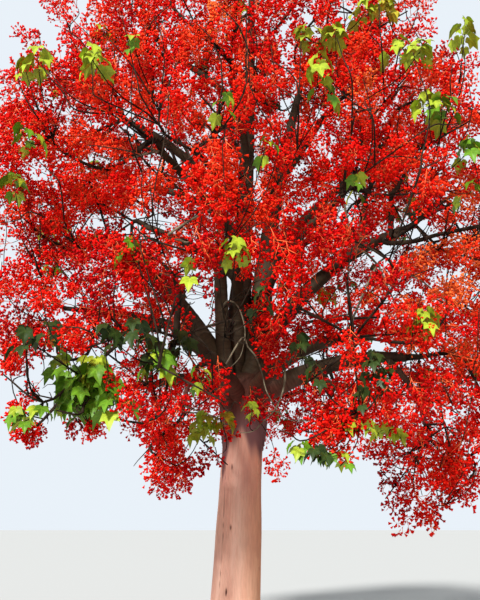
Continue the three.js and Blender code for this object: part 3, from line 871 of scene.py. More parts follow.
def panicle_kind(seed):
    """One panicle along +X: branchlets leave its stalk at golden turns, longest near its foot, and
    bells hang off them all the way out. Gives the bells' roots and directions and the branchlets' ends."""
    rng = np.random.default_rng(seed)
    share = np.linspace(*BRANCHLET_SPAN, BRANCHLETS)
    turn = np.radians(GOLDEN_ANGLE) * np.arange(BRANCHLETS) + rng.uniform(*ANY_PHASE)
    spread = np.radians(BRANCHLET_SPREAD + rng.uniform(-SPREAD_CHANGE, SPREAD_CHANGE, BRANCHLETS))
    least, more, power = BRANCHLET_LENGTH
    length = PANICLE_LENGTH * (least + more * (1 - share) ** power)
    length = length * rng.uniform(*BRANCHLET_CHANGE, BRANCHLETS)
    course = np.stack([np.cos(spread), np.sin(spread) * np.cos(turn), np.sin(spread) * np.sin(turn)], -1)
    roots = np.stack([share * PANICLE_LENGTH, 0 * share, 0 * share], -1)
    ends = roots + course * length[:, None]
    weight = np.cumsum(length + LEAST_CARRIED)
    carrier = np.searchsorted(weight, rng.uniform(0, weight[-1], BELLS))
    place = rng.uniform(BELLS_FROM, 1.0, BELLS) ** BELL_CROWDING
    bell_roots = roots[carrier] + (ends - roots)[carrier] * place[:, None]
    loose = unit(rng.normal(size=(BELLS, 3)))
    bell_ways = unit(course[carrier] * BELL_AHEAD + loose * BELL_LOOSE)
    bell_roots = bell_roots + loose * rng.uniform(*BELL_OFF, BELLS)[:, None]
    sizes = rng.uniform(*BELL_SIZES, BELLS)
    return dict(roots=roots, ends=ends, bell_roots=bell_roots, bell_ways=bell_ways, sizes=sizes)


def spikes(roots, ends, radius):
    """Three-sided spikes from roots to ends, with a flat foot of the given radius and a sharp tip."""
    ways = unit(ends - roots)
    across = unit(np.cross(away_from(ways), ways))
    sideways = np.cross(ways, across)
    corners = []
    for k in range(SPIKE_SIDES):
        a = 2 * math.pi * k / SPIKE_SIDES
        corners.append(roots + (across * math.cos(a) + sideways * math.sin(a)) * radius)
    points = np.stack(corners + [ends], -2).reshape(-1, 3)
    return points, copies(SPIKE_FACES, len(points) // SPIKE_CORNERS, SPIKE_CORNERS)


def panicle_sites(k, masses, stretches, seed):
    """Where mass k's panicles are: the same draws, at a panicle's size, spread closer together."""
    mass = masses[k]
    draws = draw_sprays(mass, seed)
    halves = [draws["length"] / 2 * s for s in PANICLE_SCALE]
    fitting = spray_fits(draws, halves, k, masses, stretches, PANICLE_ROOM)
    picked = fitting[spread_out(draws["centre"][fitting], mass["tip"], PANICLE_SPACING, MOST_PANICLES)]
    sites = {name: draws[name][picked] for name in draws}
    sites["centre"] = held_in(sites["centre"], PANICLE_MARGIN)
    return sites


def panicle_feet(sites):
    return sites["centre"] - sites["way"] * (sites["length"] * PANICLE_SCALE[0] / 2)[:, None]


def panicle_shells(kind, sites):
    """Bells and stalks of all the panicles of one kind: the kind turned, scaled and put at each site.

    A bell is a spike whose sharp end hangs from its root and whose flat foot is the mouth."""
    scale = sites["length"] * PANICLE_SCALE[0] * PANICLE_FILL / PANICLE_LENGTH
    feet = panicle_feet(sites)
    basis = np.stack([sites["way"], sites["side"], sites["flat"]], 1)

    def turned(vectors):
        return np.einsum("...j,njk->n...k", vectors, basis)

    def put(points):
        return feet[:, None] + turned(points) * scale[:, None, None]

    sizes = kind["sizes"][:, None]
    bell_roots = put(kind["bell_roots"])
    mouths = bell_roots + turned(kind["bell_ways"]) * BELL_LENGTH * sizes
    bells = spikes(mouths, bell_roots, BELL_RADIUS * sizes)
    branchlets = spikes(put(kind["roots"]), put(kind["ends"]), BRANCHLET_RADIUS)
    knots = len(STALK_RADII)
    axis = np.stack([np.linspace(*STALK_SPAN, knots) * PANICLE_LENGTH, np.zeros(knots), np.zeros(knots)], -1)
    stalks = tubes(put(axis), np.broadcast_to(STALK_RADII, (len(feet), knots)), SPIKE_SIDES)
    return bells, join([branchlets, stalks])


# Tints: each panicle takes one, by chance and by where it is in the crown; deeper inside and low down the
# darker reds are painted shade

TINTS = {
    "scarlet": (0.88, 0.01, 0.004),
    "red": (0.76, 0.004, 0.003),
    "crimson": (0.5, 0.002, 0.004),
    "vermilion": (0.95, 0.034, 0.008),
    "orange": (1.0, 0.14, 0.03),
}
# Deeper inside the crown and low down panicles take more red and crimson and less vermilion: painted shade
TINT_CHANCES = {
    "inner": (0.36, 0.34, 0.16, 0.14, 0.0),
    "outer": (0.4, 0.22, 0.08, 0.29, 0.01),
    "low": (0.42, 0.38, 0.18, 0.02, 0.0),
    "left": (0.3, 0.34, 0.26, 0.1, 0.0),
    "glow_rim": (0.24, 0.08, 0.02, 0.4, 0.26),
    "glow": (0.12, 0.0, 0.0, 0.4, 0.48),
}
OUTER_FROM = 0.6
LOW_BELOW = 3.8
LEFT_OF = -1.75
GLOW_CENTRE = np.array([2.1, -0.9, 3.6])
GLOW_REACH = 0.7
GLOW_RIM_REACH = 1.05


def deal_tints(centres, rng):
    """A tint's number for each panicle, by chances that hang on where it is: deeper inside the crown and
    low down more red and crimson as painted shade, on its left side more crimson, and orange in one low part
    on the right."""
    from_glow = np.linalg.norm(centres - GLOW_CENTRE, axis=1)
    chances = np.full((len(centres), len(TINTS)), TINT_CHANCES["inner"])
    chances[share_of_radius(centres) > OUTER_FROM] = TINT_CHANCES["outer"]
    chances[centres[:, 0] < LEFT_OF] = TINT_CHANCES["left"]
    chances[centres[:, 2] < LOW_BELOW] = TINT_CHANCES["low"]
    chances[from_glow < GLOW_RIM_REACH] = TINT_CHANCES["glow_rim"]
    chances[from_glow < GLOW_REACH] = TINT_CHANCES["glow"]
    passed = np.cumsum(chances, axis=1) < rng.uniform(0, 1, len(centres))[:, None]
    return passed.sum(1).clip(0, len(TINTS) - 1)


# Leaves

# A blade's rays on each side of its midrib, in degrees, how far it reaches on each, tips and notches in turn,
# and how near each is to a rib
LEAF_RAYS = np.array([0.0, 27.0, 50.0, 79.0, 104.0, 136.0, 166.0])
LEAF_REACH = np.array([1.0, 0.58, 0.78, 0.46, 0.52, 0.4, 0.3])
LEAF_RIBS = np.array([1.0, 0.0, 1.0, 0.0, 0.8, 0.0, 0.0])
LEAF_FOOT = (180.0, 0.12, 0.5)
LEAF_RIM_RIB = 0.6
LEAF_INNER_RING = 0.52
LEAF_DROOP = 0.42
LEAF_FOLD = 0.3
LEAF_WAVE = 0.07
LEAF_THICKNESS = 0.014
LEAF_LENGTH = (0.085, 0.135)
LEAF_RIM_ANGLE = math.radians(80)
LEAF_STALK = (0.06, 0.13)
STALK_RADIUS = 0.0024
STALK_SUNK = 0.01

# How the leaves of a tuft stand: the rise of the first and how much less the last one's is, and how far the
# stalks lean along the shoot, the blades hang out and down, and their tops face up and out
TUFT_RISE = (62, 75)
RISE_CHANGE = 12
TUFT_ALONG = 0.35
TUFT_DEPTH = 0.09
HANG_OUT = (0.5, 1.2)
HANG_DOWN = (0.4, 1.1)
FACING_UP = 0.7
FACING_OUT = 0.8
FACING_CHANGE = 0.25


def leaf_blade():
    """A lobed leaf a unit long as rings round its foot, each ring a share of the outline's reach on each ray.

    Its height is a fold up from the midrib, less a droop with the square of the distance from the foot,
    and its notches stand up a little. The underside is the same a thickness lower, and meets it at the rim.
    Gives its points, faces and how near each point is to a rib."""
    rays, reach, ribs = (np.concatenate([sign * half[:0:-1], half, [foot]]) for sign, half, foot in
                         zip((-1, 1, 1), (LEAF_RAYS, LEAF_REACH, LEAF_RIBS), LEAF_FOOT))
    count = len(rays)

    def ring(share, lower):
        x = share * reach * np.cos(np.radians(rays))
        y = share * reach * np.sin(np.radians(rays))
        z = LEAF_FOLD * np.abs(y) - LEAF_DROOP * (x ** 2 + y ** 2)
        z = z + LEAF_WAVE * share ** 2 * (1 - ribs) - lower
        return np.stack([x, y, z], -1)

    inner = [ring(LEAF_INNER_RING, lower) for lower in (0, LEAF_THICKNESS)]
    points = np.vstack([ring(1, 0), *inner, [[0, 0, 0], [0, 0, -LEAF_THICKNESS]]])
    rib = np.concatenate([LEAF_RIM_RIB * ribs, ribs, ribs, [1.0, 1.0]])
    i = np.arange(count)
    j = (i + 1) % count
    foot = np.full(count, 3 * count)
    upper = [[i + count, i, j], [i + count, j, j + count], [foot, i + count, j + count]]
    upper = np.concatenate([np.stack(corners, -1) for corners in upper])
    under = upper[:, ::-1].copy()
    under[(under >= count) & (under < 2 * count)] += count
    under[under == 3 * count] += 1
    return points, np.concatenate([upper, under]), rib


def put_leaves(places, courses, normals, sizes):
    """A blade at each place: its length along courses, its top facing normals as nearly as it can."""
    points, faces, rib = leaf_blade()
    normals = unit(normals - courses * (normals * courses).sum(-1, keepdims=True))
    basis = np.stack([courses, np.cross(normals, courses), normals], 1)
    placed = places[:, None] + np.einsum("pj,njk->npk", points, basis) * sizes[:, None, None]
    return (placed.reshape(-1, 3), copies(faces, len(places), len(points))), np.tile(rib, len(places))


def tuft(place, way, count, rng, scale):
    """Leaves round a shoot's tip: stalks at golden turns, the blades hanging out and down from their ends."""
    turn = np.radians(GOLDEN_ANGLE) * np.arange(count) + rng.uniform(*ANY_PHASE)
    level = np.linspace(0.0, 1.0, count)
    rise = np.radians(TUFT_RISE[0] - TUFT_RISE[1] * level + rng.uniform(-RISE_CHANGE, RISE_CHANGE, count))
    out = np.stack([np.cos(turn), np.sin(turn), np.zeros(count)], -1)
    course = unit(out * np.cos(rise)[:, None] + UP * np.sin(rise)[:, None] + way * TUFT_ALONG)
    stalk = rng.uniform(*LEAF_STALK, count) * scale
    roots = place - way * TUFT_DEPTH * level[:, None] * scale
    hang = out * rng.uniform(*HANG_OUT, count)[:, None] - UP * rng.uniform(*HANG_DOWN, count)[:, None]
    facing = UP * FACING_UP + out * FACING_OUT + rng.normal(size=(count, 3)) * FACING_CHANGE
    sizes = rng.uniform(*LEAF_LENGTH, count) * scale
    return dict(roots=roots, ends=roots + course * stalk[:, None], courses=unit(hang), normals=unit(facing),
                sizes=sizes)


# What the picture shows. Places in it are given in points of PICTURE from its upper left corner.

# Tufts of leaves: point, leaves, tint and scale
# The dark tint stands for leaves in shade: painted shade
GREEN, LIT, SHADED, YELLOW = "green", "yellow_green", "dark", "yellow"
FRONT_TUFTS = [
    (37, 61, 6, LIT, 1.0), (20, 68, 4, LIT, 0.9), (90, 58, 7, LIT, 1.0), (135, 48, 2, GREEN, 0.9),
    (13, 136, 5, GREEN, 1.0), (14, 184, 6, GREEN, 1.0), (306, 37, 6, LIT, 1.0), (335, 33, 8, LIT, 1.0),
    (320, 68, 6, LIT, 1.0), (385, 8, 9, YELLOW, 1.0), (365, 12, 6, LIT, 1.0), (400, 50, 6, LIT, 1.0),
    (420, 52, 8, LIT, 1.0), (428, 104, 7, LIT, 1.0), (450, 103, 6, GREEN, 1.0), (465, 32, 8, LIT, 1.0),
    (325, 94, 3, GREEN, 1.0), (225, 105, 3, GREEN, 0.8), (265, 148, 3, GREEN, 0.8), (357, 186, 3, GREEN, 0.8),
    (470, 148, 5, GREEN, 1.0), (474, 192, 3, GREEN, 0.9), (117, 244, 4, GREEN, 0.95), (188, 267, 2, LIT, 0.9),
    (235, 243, 7, LIT, 0.9), (263, 298, 3, SHADED, 0.85), (299, 348, 4, SHADED, 0.9), (442, 316, 8, LIT, 0.9),
    (25, 340, 3, SHADED, 1.0), (48, 335, 4, SHADED, 1.0), (112, 337, 4, SHADED, 1.0), (135, 330, 4, SHADED, 1.0),
    (160, 362, 9, GREEN, 1.15), (12, 422, 6, GREEN, 1.0), (40, 414, 4, GREEN, 1.0), (204, 428, 8, LIT, 1.0),
    (224, 424, 6, YELLOW, 0.9), (252, 409, 4, LIT, 0.7), (372, 396, 4, SHADED, 0.85), (366, 428, 5, LIT, 0.9),
    (386, 436, 6, LIT, 0.95), (300, 454, 6, GREEN, 0.8), (320, 458, 5, SHADED, 0.8), (342, 466, 4, GREEN, 0.8),
    (200, 378, 3, GREEN, 0.85), (384, 360, 5, SHADED, 0.85), (315, 376, 3, SHADED, 0.8), (180, 346, 5, SHADED, 1.0),
    (150, 350, 5, SHADED, 1.0), (398, 376, 4, SHADED, 0.8), (62, 368, 6, GREEN, 1.15), (98, 402, 5, GREEN, 1.15),
    (76, 390, 5, LIT, 1.1),
]
LEAF_TINTS = {
    GREEN: (0.125, 0.28, 0.014),
    LIT: (0.37, 0.47, 0.028),
    # Near-black leaves in shade: painted shade
    SHADED: (0.028, 0.055, 0.009),
    YELLOW: (0.5, 0.42, 0.025),
}
# The second tint that shows in a tuft of each tint, and how many more leaves take it
SECOND_TINT = {GREEN: LIT, LIT: LIT, SHADED: SHADED, YELLOW: LIT}
SECOND_SHARE = 0.45

# Openings through the crown, where sky, leaves or bare limbs show: middle and half sizes
OPENINGS = [
    (285, 106, 14, 17), (252, 135, 12, 12), (252, 162, 12, 18), (345, 197, 26, 11), (125, 222, 27, 11),
    (98, 220, 16, 12), (158, 222, 20, 14), (198, 308, 20, 24), (232, 300, 8, 40), (105, 165, 12, 11),
    (285, 72, 9, 11), (60, 312, 26, 9), (150, 352, 40, 10), (420, 226, 20, 10), (345, 352, 50, 5),
    (148, 135, 20, 10), (192, 345, 15, 26), (80, 384, 48, 38), (122, 455, 32, 44), (216, 480, 26, 46),
    (250, 352, 22, 28), (240, 440, 26, 22), (366, 505, 22, 34), (94, 18, 10, 24), (395, 352, 26, 8),
    (312, 470, 36, 26), (75, 466, 44, 34), (465, 135, 12, 11), (378, 258, 22, 14), (222, 280, 32, 13),
    (435, 345, 11, 8), (12, 385, 16, 24), (288, 441, 14, 13), (402, 465, 11, 11), (10, 24, 20, 16),
    (464, 524, 32, 24), (198, 446, 16, 20), (55, 432, 14, 9), (374, 464, 18, 17), (54, 46, 18, 11),
    (20, 62, 18, 12), (192, 14, 14, 14), (405, 14, 14, 14), (345, 12, 14, 12), (70, 436, 16, 12),
    (412, 292, 10, 7), (446, 518, 14, 13), (405, 543, 18, 10),
]

# Panicles that hang in front of limbs and openings
FRONT_PANICLES = [
    (6, 98), (14, 108), (8, 118), (10, 128), (22, 140), (12, 150), (14, 165), (4, 176),
    (2, 120), (4, 140), (104, 76), (160, 44), (222, 10), (232, 24), (258, 12), (222, 190),
    (243, 187), (262, 198), (220, 210), (241, 206), (262, 222), (283, 214), (282, 232), (205, 196),
    (200, 252), (254, 250), (284, 250), (296, 262), (205, 165), (218, 175), (228, 160), (212, 150),
    (247, 66), (249, 90), (100, 250), (128, 258), (138, 250), (140, 262), (100, 282), (163, 286),
    (284, 278), (278, 300), (276, 318), (270, 334), (283, 342), (278, 356), (256, 310), (264, 300),
    (300, 316), (324, 318), (336, 318), (326, 326), (341, 250), (348, 238), (350, 226), (462, 186),
    (450, 190), (470, 176), (440, 184), (464, 284), (432, 314), (350, 346), (262, 340), (219, 374),
    (252, 402), (264, 406), (318, 398), (308, 392), (374, 410), (360, 404), (398, 396), (344, 428),
    (334, 440), (316, 428), (208, 458), (276, 462), (434, 462), (196, 236), (348, 270), (408, 496),
    (416, 510), (424, 510), (126, 262), (112, 244), (196, 372), (160, 176), (150, 186), (340, 420),
    (425, 460), (440, 470), (455, 462), (470, 455), (420, 400), (432, 392), (445, 400),
]

# Grey bare twigs near the trunk: points from the limb outwards, their depth and their radii
GREY_TWIGS = [
    ([(225, 303), (230, 301), (237, 305), (242, 316), (245, 330), (244, 343), (240, 357), (231, 367)],
     -0.46, (0.011, 0.004)),
    ([(242, 338), (248, 347), (256, 357), (262, 373), (266, 390), (274, 405)], -0.5, (0.009, 0.007)),
    ([(284, 362), (285, 380), (281, 397), (274, 411), (264, 421), (253, 431), (240, 433)],
     -0.52, (0.014, 0.004)),
    ([(274, 411), (286, 419), (300, 421), (313, 419)], -0.52, (0.008, 0.003)),
    ([(214, 276), (200, 277), (184, 277), (168, 275), (153, 272), (140, 266), (129, 258)],
     -0.9, (0.012, 0.004)),
    ([(169, 234), (180, 240), (188, 242), (195, 233), (199, 220), (200, 206), (200, 195)],
     -1.5, (0.013, 0.004)),
    ([(353, 243), (366, 253), (379, 267), (386, 284), (395, 302), (403, 312), (411, 320)],
     -1.2, (0.014, 0.005)),
    ([(379, 262), (397, 270), (420, 280), (441, 297), (460, 313)], -1.2, (0.012, 0.004)),
    ([(220, 419), (190, 412), (157, 408)], -0.9, (0.008, 0.003)),
    ([(138, 156), (130, 159), (110, 159), (94, 154)], -1.0, (0.014, 0.006)),
]
# Dark boughs that go on from the limbs: points from the limb outwards, their depth and their radii
DARK_BOUGHS = [
    ([(388, 240), (391, 222), (391, 196)], -0.3, (0.036, 0.03)),
    ([(388, 243), (415, 241), (440, 234), (480, 226)], -0.3, (0.03, 0.02)),
    ([(398, 236), (420, 220), (455, 202)], -0.35, (0.024, 0.016)),
    ([(302, 325), (332, 320), (380, 317)], -0.5, (0.02, 0.012)),
    ([(175, 160), (170, 150), (156, 141), (138, 128)], -0.4, (0.02, 0.012)),
    ([(153, 150), (142, 145), (120, 127)], -0.4, (0.018, 0.01)),
    ([(178, 166), (170, 148), (168, 128)], -0.45, (0.016, 0.009)),
    ([(190, 158), (176, 135)], -0.4, (0.022, 0.014)),
    ([(184, 192), (155, 168)], -0.5, (0.02, 0.012)),
    ([(225, 130), (217, 115), (200, 95)], -0.4, (0.016, 0.01)),
    ([(445, 425), (437, 432), (412, 450)], -0.9, (0.013, 0.006)),
    ([(437, 400), (445, 428), (452, 455)], -0.9, (0.014, 0.006)),
]
# Thin dark twigs along the front of the bloom: points from their roots outwards
FRONT_TWIGS = [
    [(31, 108), (18, 82), (0, 56)], [(76, 110), (62, 91), (46, 72), (33, 50)], [(76, 100), (49, 72)],
    [(95, 96), (93, 82), (91, 59)], [(86, 48), (66, 30)],
    [(142, 98), (138, 83), (132, 60), (127, 37), (122, 18)],
    [(135, 70), (110, 40)], [(127, 130), (140, 114), (155, 98)], [(138, 155), (112, 148), (88, 145)],
    [(185, 170), (175, 172), (150, 162)], [(60, 185), (50, 172), (32, 155)], [(152, 22), (172, 3)],
    [(238, 22), (217, 0)], [(299, 100), (300, 70), (301, 41)], [(352, 82), (343, 58), (337, 38)],
    [(372, 108), (366, 110), (350, 100), (335, 85), (322, 72)], [(400, 46), (408, 36), (415, 20), (420, 0)],
    [(424, 165), (428, 140), (432, 112), (426, 92), (418, 70), (413, 52)], [(459, 97), (465, 65), (469, 35)],
    [(454, 92), (457, 62)], [(428, 128), (445, 124), (462, 120), (480, 115)],
    [(424, 170), (428, 166), (445, 158), (462, 150), (479, 142)], [(374, 124), (368, 110), (364, 98)],
    [(382, 50), (380, 30), (379, 5)], [(297, 82), (270, 60)], [(297, 104), (275, 85)],
    [(244, 82), (246, 40), (247, 0)], [(307, 440), (290, 434), (277, 429)],
    [(80, 328), (60, 325), (32, 322), (0, 318)], [(158, 240), (140, 232), (128, 223), (112, 212), (80, 210)],
    [(32, 212), (18, 220), (0, 223)], [(210, 352), (190, 330), (172, 305)],
]
FRONT_TWIG_RADII = (0.008, 0.0035)
FRONT_TWIG_MARGIN = 0.17
# How far a front twig stands off the bloom, and how far back along it and behind it its root is looked for
FRONT_TWIG_STAND = 0.1
FRONT_TWIG_BACK = (0.22, 0.3)

# Stretches of limbs that show bare: limb, from and to as shares of its length, and half width
BARE_STRETCHES = [
    ("right_bough", 0.36, 0.62, 15), ("right_bough", 0.72, 1.0, 10), ("right_low_bough", 0.05, 0.32, 13),
    ("right_low_bough", 0.55, 1.0, 11), ("left_bough", 0.0, 0.48, 10), ("left_bough", 0.58, 0.85, 10),
    ("leader", 0.0, 0.12, 10),
]
DARK_BOUGH_HALF_WIDTH = 10
BARE_POINTS = 12

# How far off the camera the first and last point of a ray are looked at, and the step between them
RAY = (4.8, 11.5, 0.04)
NEAR_BLOOM = 0.26
NEAR_LIMB = 0.12
TINY = 1e-4


def picture_points(points):
    """Where points show in the picture."""
    away = points - EYE
    c, s = math.cos(EYE_RISE), math.sin(EYE_RISE)
    ahead = away[:, 1] * c + away[:, 2] * s
    rise = away[:, 2] * c - away[:, 1] * s
    x = PICTURE[0] / 2 + PIXELS_PER_UNIT * away[:, 0] / ahead
    return np.stack([x, PICTURE[1] / 2 - PIXELS_PER_UNIT * rise / ahead], 1)


def picture_ray(px, py):
    """The way from the camera through a picture point."""
    x = (px - PICTURE[0] / 2) / PIXELS_PER_UNIT
    z = (PICTURE[1] / 2 - py) / PIXELS_PER_UNIT
    c, s = math.cos(EYE_RISE), math.sin(EYE_RISE)
    return unit(np.array([x, c - z * s, s + z * c]))


def plane_points(course, depth):
    """The points of the upright plane at a depth along Y that show at the picture points of a course."""
    rays = np.array([picture_ray(px, py) for px, py in course])
    return EYE + rays * (depth - EYE[1]) / rays[:, 1:2]


def front_point(px, py, centres, stretches):
    """The first point on a picture point's ray that is near a panicle or a limb."""
    ray = EYE + picture_ray(px, py) * np.arange(*RAY)[:, None]
    near = np.linalg.norm(ray[:, None] - centres[None], axis=-1).min(1) < NEAR_BLOOM
    starts, ends, radii = stretches
    gaps = line_distance(ray[:, None], ray[:, None] + TINY, starts[None], ends[None]) - radii[None]
    near |= gaps.min(1) < NEAR_LIMB
    return ray[int(np.argmax(near)) if near.any() else len(ray) // 2]


def in_openings(centres):
    """True where a point shows within one of the openings."""
    x, y = picture_points(centres).T
    held = np.zeros(len(centres), bool)
    for middle_x, middle_y, half_x, half_y in OPENINGS:
        held |= ((x - middle_x) / half_x) ** 2 + ((y - middle_y) / half_y) ** 2 < 1
    return held


def hides_bare_limbs(centres, grown):
    """True where a point lies in front of a dark bough or a bare stretch of limb, as the picture shows it."""
    bare = []
    for name, first, last, half_width in BARE_STRETCHES:
        shares = np.linspace(first, last, BARE_POINTS)
        points = np.array([point_along(grown[name]["points"], share) for share in shares])
        bare.append((picture_points(points), points[:, 1], half_width))
    for course, depth, radii in DARK_BOUGHS:
        shares = np.linspace(0, 1, BARE_POINTS)
        along = np.array([point_along(np.array(course, float), share) for share in shares])
        bare.append((along, np.full(BARE_POINTS, depth), DARK_BOUGH_HALF_WIDTH))
    hides = np.zeros(len(centres), bool)
    seen = picture_points(centres)
    for along, depths, half_width in bare:
        gaps = np.linalg.norm(seen[:, None] - along[None], axis=-1)
        hides |= (gaps.min(1) < half_width) & (centres[:, 1] < depths[np.argmin(gaps, axis=1)])
    return hides


def nearest_on_limbs(point, stretches):
    """The nearest point on the axis of a limb."""
    starts, ends, radii = stretches
    span = ends - starts
    share = np.clip(((point - starts) * span).sum(1) / (span * span).sum(1), 0, 1)
    feet = starts + span * share[:, None]
    return feet[np.argmin(np.linalg.norm(feet - point, axis=1) - radii)]


def stray_twigs(strays, stretches):
    """Bare twigs and boughs: a curve from the nearest limb through the given points."""
    twigs = []
    for course, depth, radii in strays:
        points = plane_points(course, depth)
        path = smooth_path(np.vstack([nearest_on_limbs(points[0], stretches), points]), TWIG_STEPS)
        twigs.append(dict(path=path, radii=np.linspace(*radii, len(path)), way_back=lengths_along(path)))
    return twigs


def front_twigs(centres, stretches, twigs):
    """Thin twigs: a curve from the nearest twig through the given points, just in front of the bloom."""
    grown = []
    for course in FRONT_TWIGS:
        depths = [front_point(px, py, centres, stretches)[1] for px, py in course]
        points = held_in(plane_points(course, float(np.median(depths)) - FRONT_TWIG_STAND), FRONT_TWIG_MARGIN)
        back = unit(points[:1] - points[1:2]) * FRONT_TWIG_BACK[0] + [[0, FRONT_TWIG_BACK[1], 0]]
        roots = nearest_on_twigs(points[:1] + back, twigs)[0]
        path = held_in(smooth_path(np.vstack([roots, points]), TWIG_STEPS), FRONT_TWIG_MARGIN)
        grown.append(dict(path=path, radii=np.linspace(*FRONT_TWIG_RADII, len(path))))
    return grown


# Materials

BLACK = (0.0, 0.0, 0.0)
WHITE = (1.0, 1.0, 1.0)
BARK_ROSE = (0.62, 0.27, 0.19)
BARK_SALMON = (0.8, 0.43, 0.31)
BARK_PALE = (0.93, 0.6, 0.46)
BARK_BLUSH = (0.5, 0.23, 0.185)
BARK_SPECK = (0.75, 0.7, 0.68)
# Darker, warmer tone multiplied onto the trunk's right side: painted shade
BARK_SIDE_SHADE = (0.8, 0.66, 0.5)
# Mauve painted shade of the crown on the trunk below the fork
BARK_MAUVE_SHADE = (0.15, 0.062, 0.06)
# Rusty and dark brown of the fork and boughs: partly the limbs' own darker bark, partly painted shade of the
# crown
BARK_RUST_AND_SHADE = (0.13, 0.035, 0.022)
BARK_DARK_AND_SHADE = (0.028, 0.012, 0.005)
BARK_OLIVE = (0.042, 0.024, 0.009)
BARK_GREY = (0.07, 0.05, 0.03)
BARK_CUT = (0.11, 0.04, 0.028)
RING_SHADE = (0.5, 0.45, 0.4)
# Near-black twigs in the crown: partly their own dark bark, partly painted shade
TWIG_DARK_AND_SHADE = (0.014, 0.008, 0.005)
TWIG_BROWN = (0.05, 0.032, 0.02)
BARE_TWIG_BROWN = (0.08, 0.058, 0.036)
TWIG_GREY = (0.3, 0.26, 0.17)
STALK_COLOUR = (0.95, 0.15, 0.035)
LEAF_STALK_COLOUR = (0.3, 0.3, 0.06)
# Factors of the darker tints, and factor and addition for each channel of the lighter ones; the lighter petal
# tint is partly painted highlight
PETAL_DEEP = 0.6
PETAL_LIGHT = ((1.2, 0.0), (1.5, 0.006), (1.3, 0.001))
LEAF_DEEP = 0.62
LEAF_PALE = ((1.5, 0.02), (1.3, 0.02), (1.4, 0.0))
RIB_SHARE = (0.6, 0.6, 0.6)

# Heights between which the bark's colours change towards the fork: the rust and dark bands are partly the
# limbs' own darker bark, partly painted shade of the crown
BLUSH_BAND = (1.35, 2.0)
RUST_AND_SHADE_BAND = (2.42, 2.66)
DARK_AND_SHADE_BAND = (2.65, 3.0)

# How many times each pattern repeats in a metre along each axis
BAND_EDGE = (7.0, 7.0, 3.0)
TRUNK_STREAKS = (6.0, 6.0, 0.7)
TRUNK_PATCHES = (3.5, 3.5, 1.8)
TRUNK_SPECKS = (70.0, 70.0, 9.0)
LIMB_PATCHES = (5.0, 5.0, 3.0)
LIMB_RINGS = (7.0, 7.0, 55.0)
TWIG_PATCHES = (9.0, 9.0, 9.0)
PETAL_PATCHES = (38.0, 38.0, 38.0)
LEAF_PATCHES = (14.0, 14.0, 14.0)

# Places of the sockets on a mix node of colours
MIX_SHARE, MIX_FIRST, MIX_SECOND, MIX_RESULT = 0, 6, 7, 2


class Finish:
    """A material and the nodes that give it its pattern."""

    def __init__(self, name, colour, roughness, specular):
        self.material = bpy.data.materials.new(name)
        self.material.use_nodes = True
        self.material.diffuse_color = (*colour, 1)
        self.nodes = self.material.node_tree.nodes
        self.links = self.material.node_tree.links
        self.skin = self.nodes["Principled BSDF"].inputs
        self.skin["Base Color"].default_value = (*colour, 1)
        self.skin["Roughness"].default_value = roughness
        self.skin["Specular IOR Level"].default_value = specular

    def add(self, kind, inputs):
        """A new node. Each input is a plain value or another node's output."""
        node = self.nodes.new("ShaderNode" + kind)
        self.feed(node, inputs)
        return node

    def feed(self, node, inputs):
        for socket, value in inputs.items():
            if isinstance(value, bpy.types.NodeSocket):
                self.links.new(value, node.inputs[socket])
            else:
                node.inputs[socket].default_value = value

    def place(self):
        return self.add("TexCoord", {}).outputs["Object"]

    def attribute(self, label, output="Fac"):
        node = self.add("Attribute", {})
        node.attribute_name = label
        return node.outputs[output]

    def noise(self, place, scale, detail=3.0, roughness=0.55):
        """A noise pattern on a place, stretched by a scale along each axis."""
        mapped = self.add("Mapping", {"Vector": place, "Scale": scale}).outputs["Vector"]
        looks = {"Vector": mapped, "Scale": 1.0, "Detail": detail, "Roughness": roughness}
        return self.add("TexNoise", looks).outputs["Fac"]

    def ramp(self, value, *stops):
        """Colours by value: stops are (place, colour)."""
        node = self.add("ValToRGB", {"Fac": value})
        elements = node.color_ramp.elements
        for i in (0, -1):
            elements[i].position = stops[i][0]
            elements[i].color = (*stops[i][1], 1)
        for place, colour in stops[1:-1]:
            elements.new(place).color = (*colour, 1)
        return node.outputs["Color"]

    def mix(self, share, first, second, how="MIX"):
        """First and second mixed by share, each an output or a plain colour."""
        first, second = ((*c, 1) if isinstance(c, tuple) else c for c in (first, second))
        node = self.add("Mix", {})
        node.data_type = "RGBA"
        node.blend_type = how
        self.feed(node, {MIX_SHARE: share, MIX_FIRST: first, MIX_SECOND: second})
        return node.outputs[MIX_RESULT]

    def above(self, place, band, waver):
        """From 0 under a band of height to 1 over it, its edges wavering up and down by the given reach."""
        height = self.add("SeparateXYZ", {"Vector": place}).outputs["Z"]
        edge = self.add("Math", {0: self.noise(place, BAND_EDGE), 1: 2 * waver, 2: height})
        edge.operation = "MULTIPLY_ADD"
        limits = {"Value": edge.outputs["Value"], "From Min": band[0] + waver, "From Max": band[1] + waver}
        share = self.add("MapRange", limits)
        share.interpolation_type = "SMOOTHSTEP"
        return share.outputs["Result"]

    def finished(self, colour, height, strength, distance):
        """The material, with its colour and with bumps of the given height."""
        bump = self.add("Bump", {"Strength": strength, "Distance": distance, "Height": height})
        self.links.new(colour, self.skin["Base Color"])
        self.links.new(bump.outputs["Normal"], self.skin["Normal"])
        return self.material


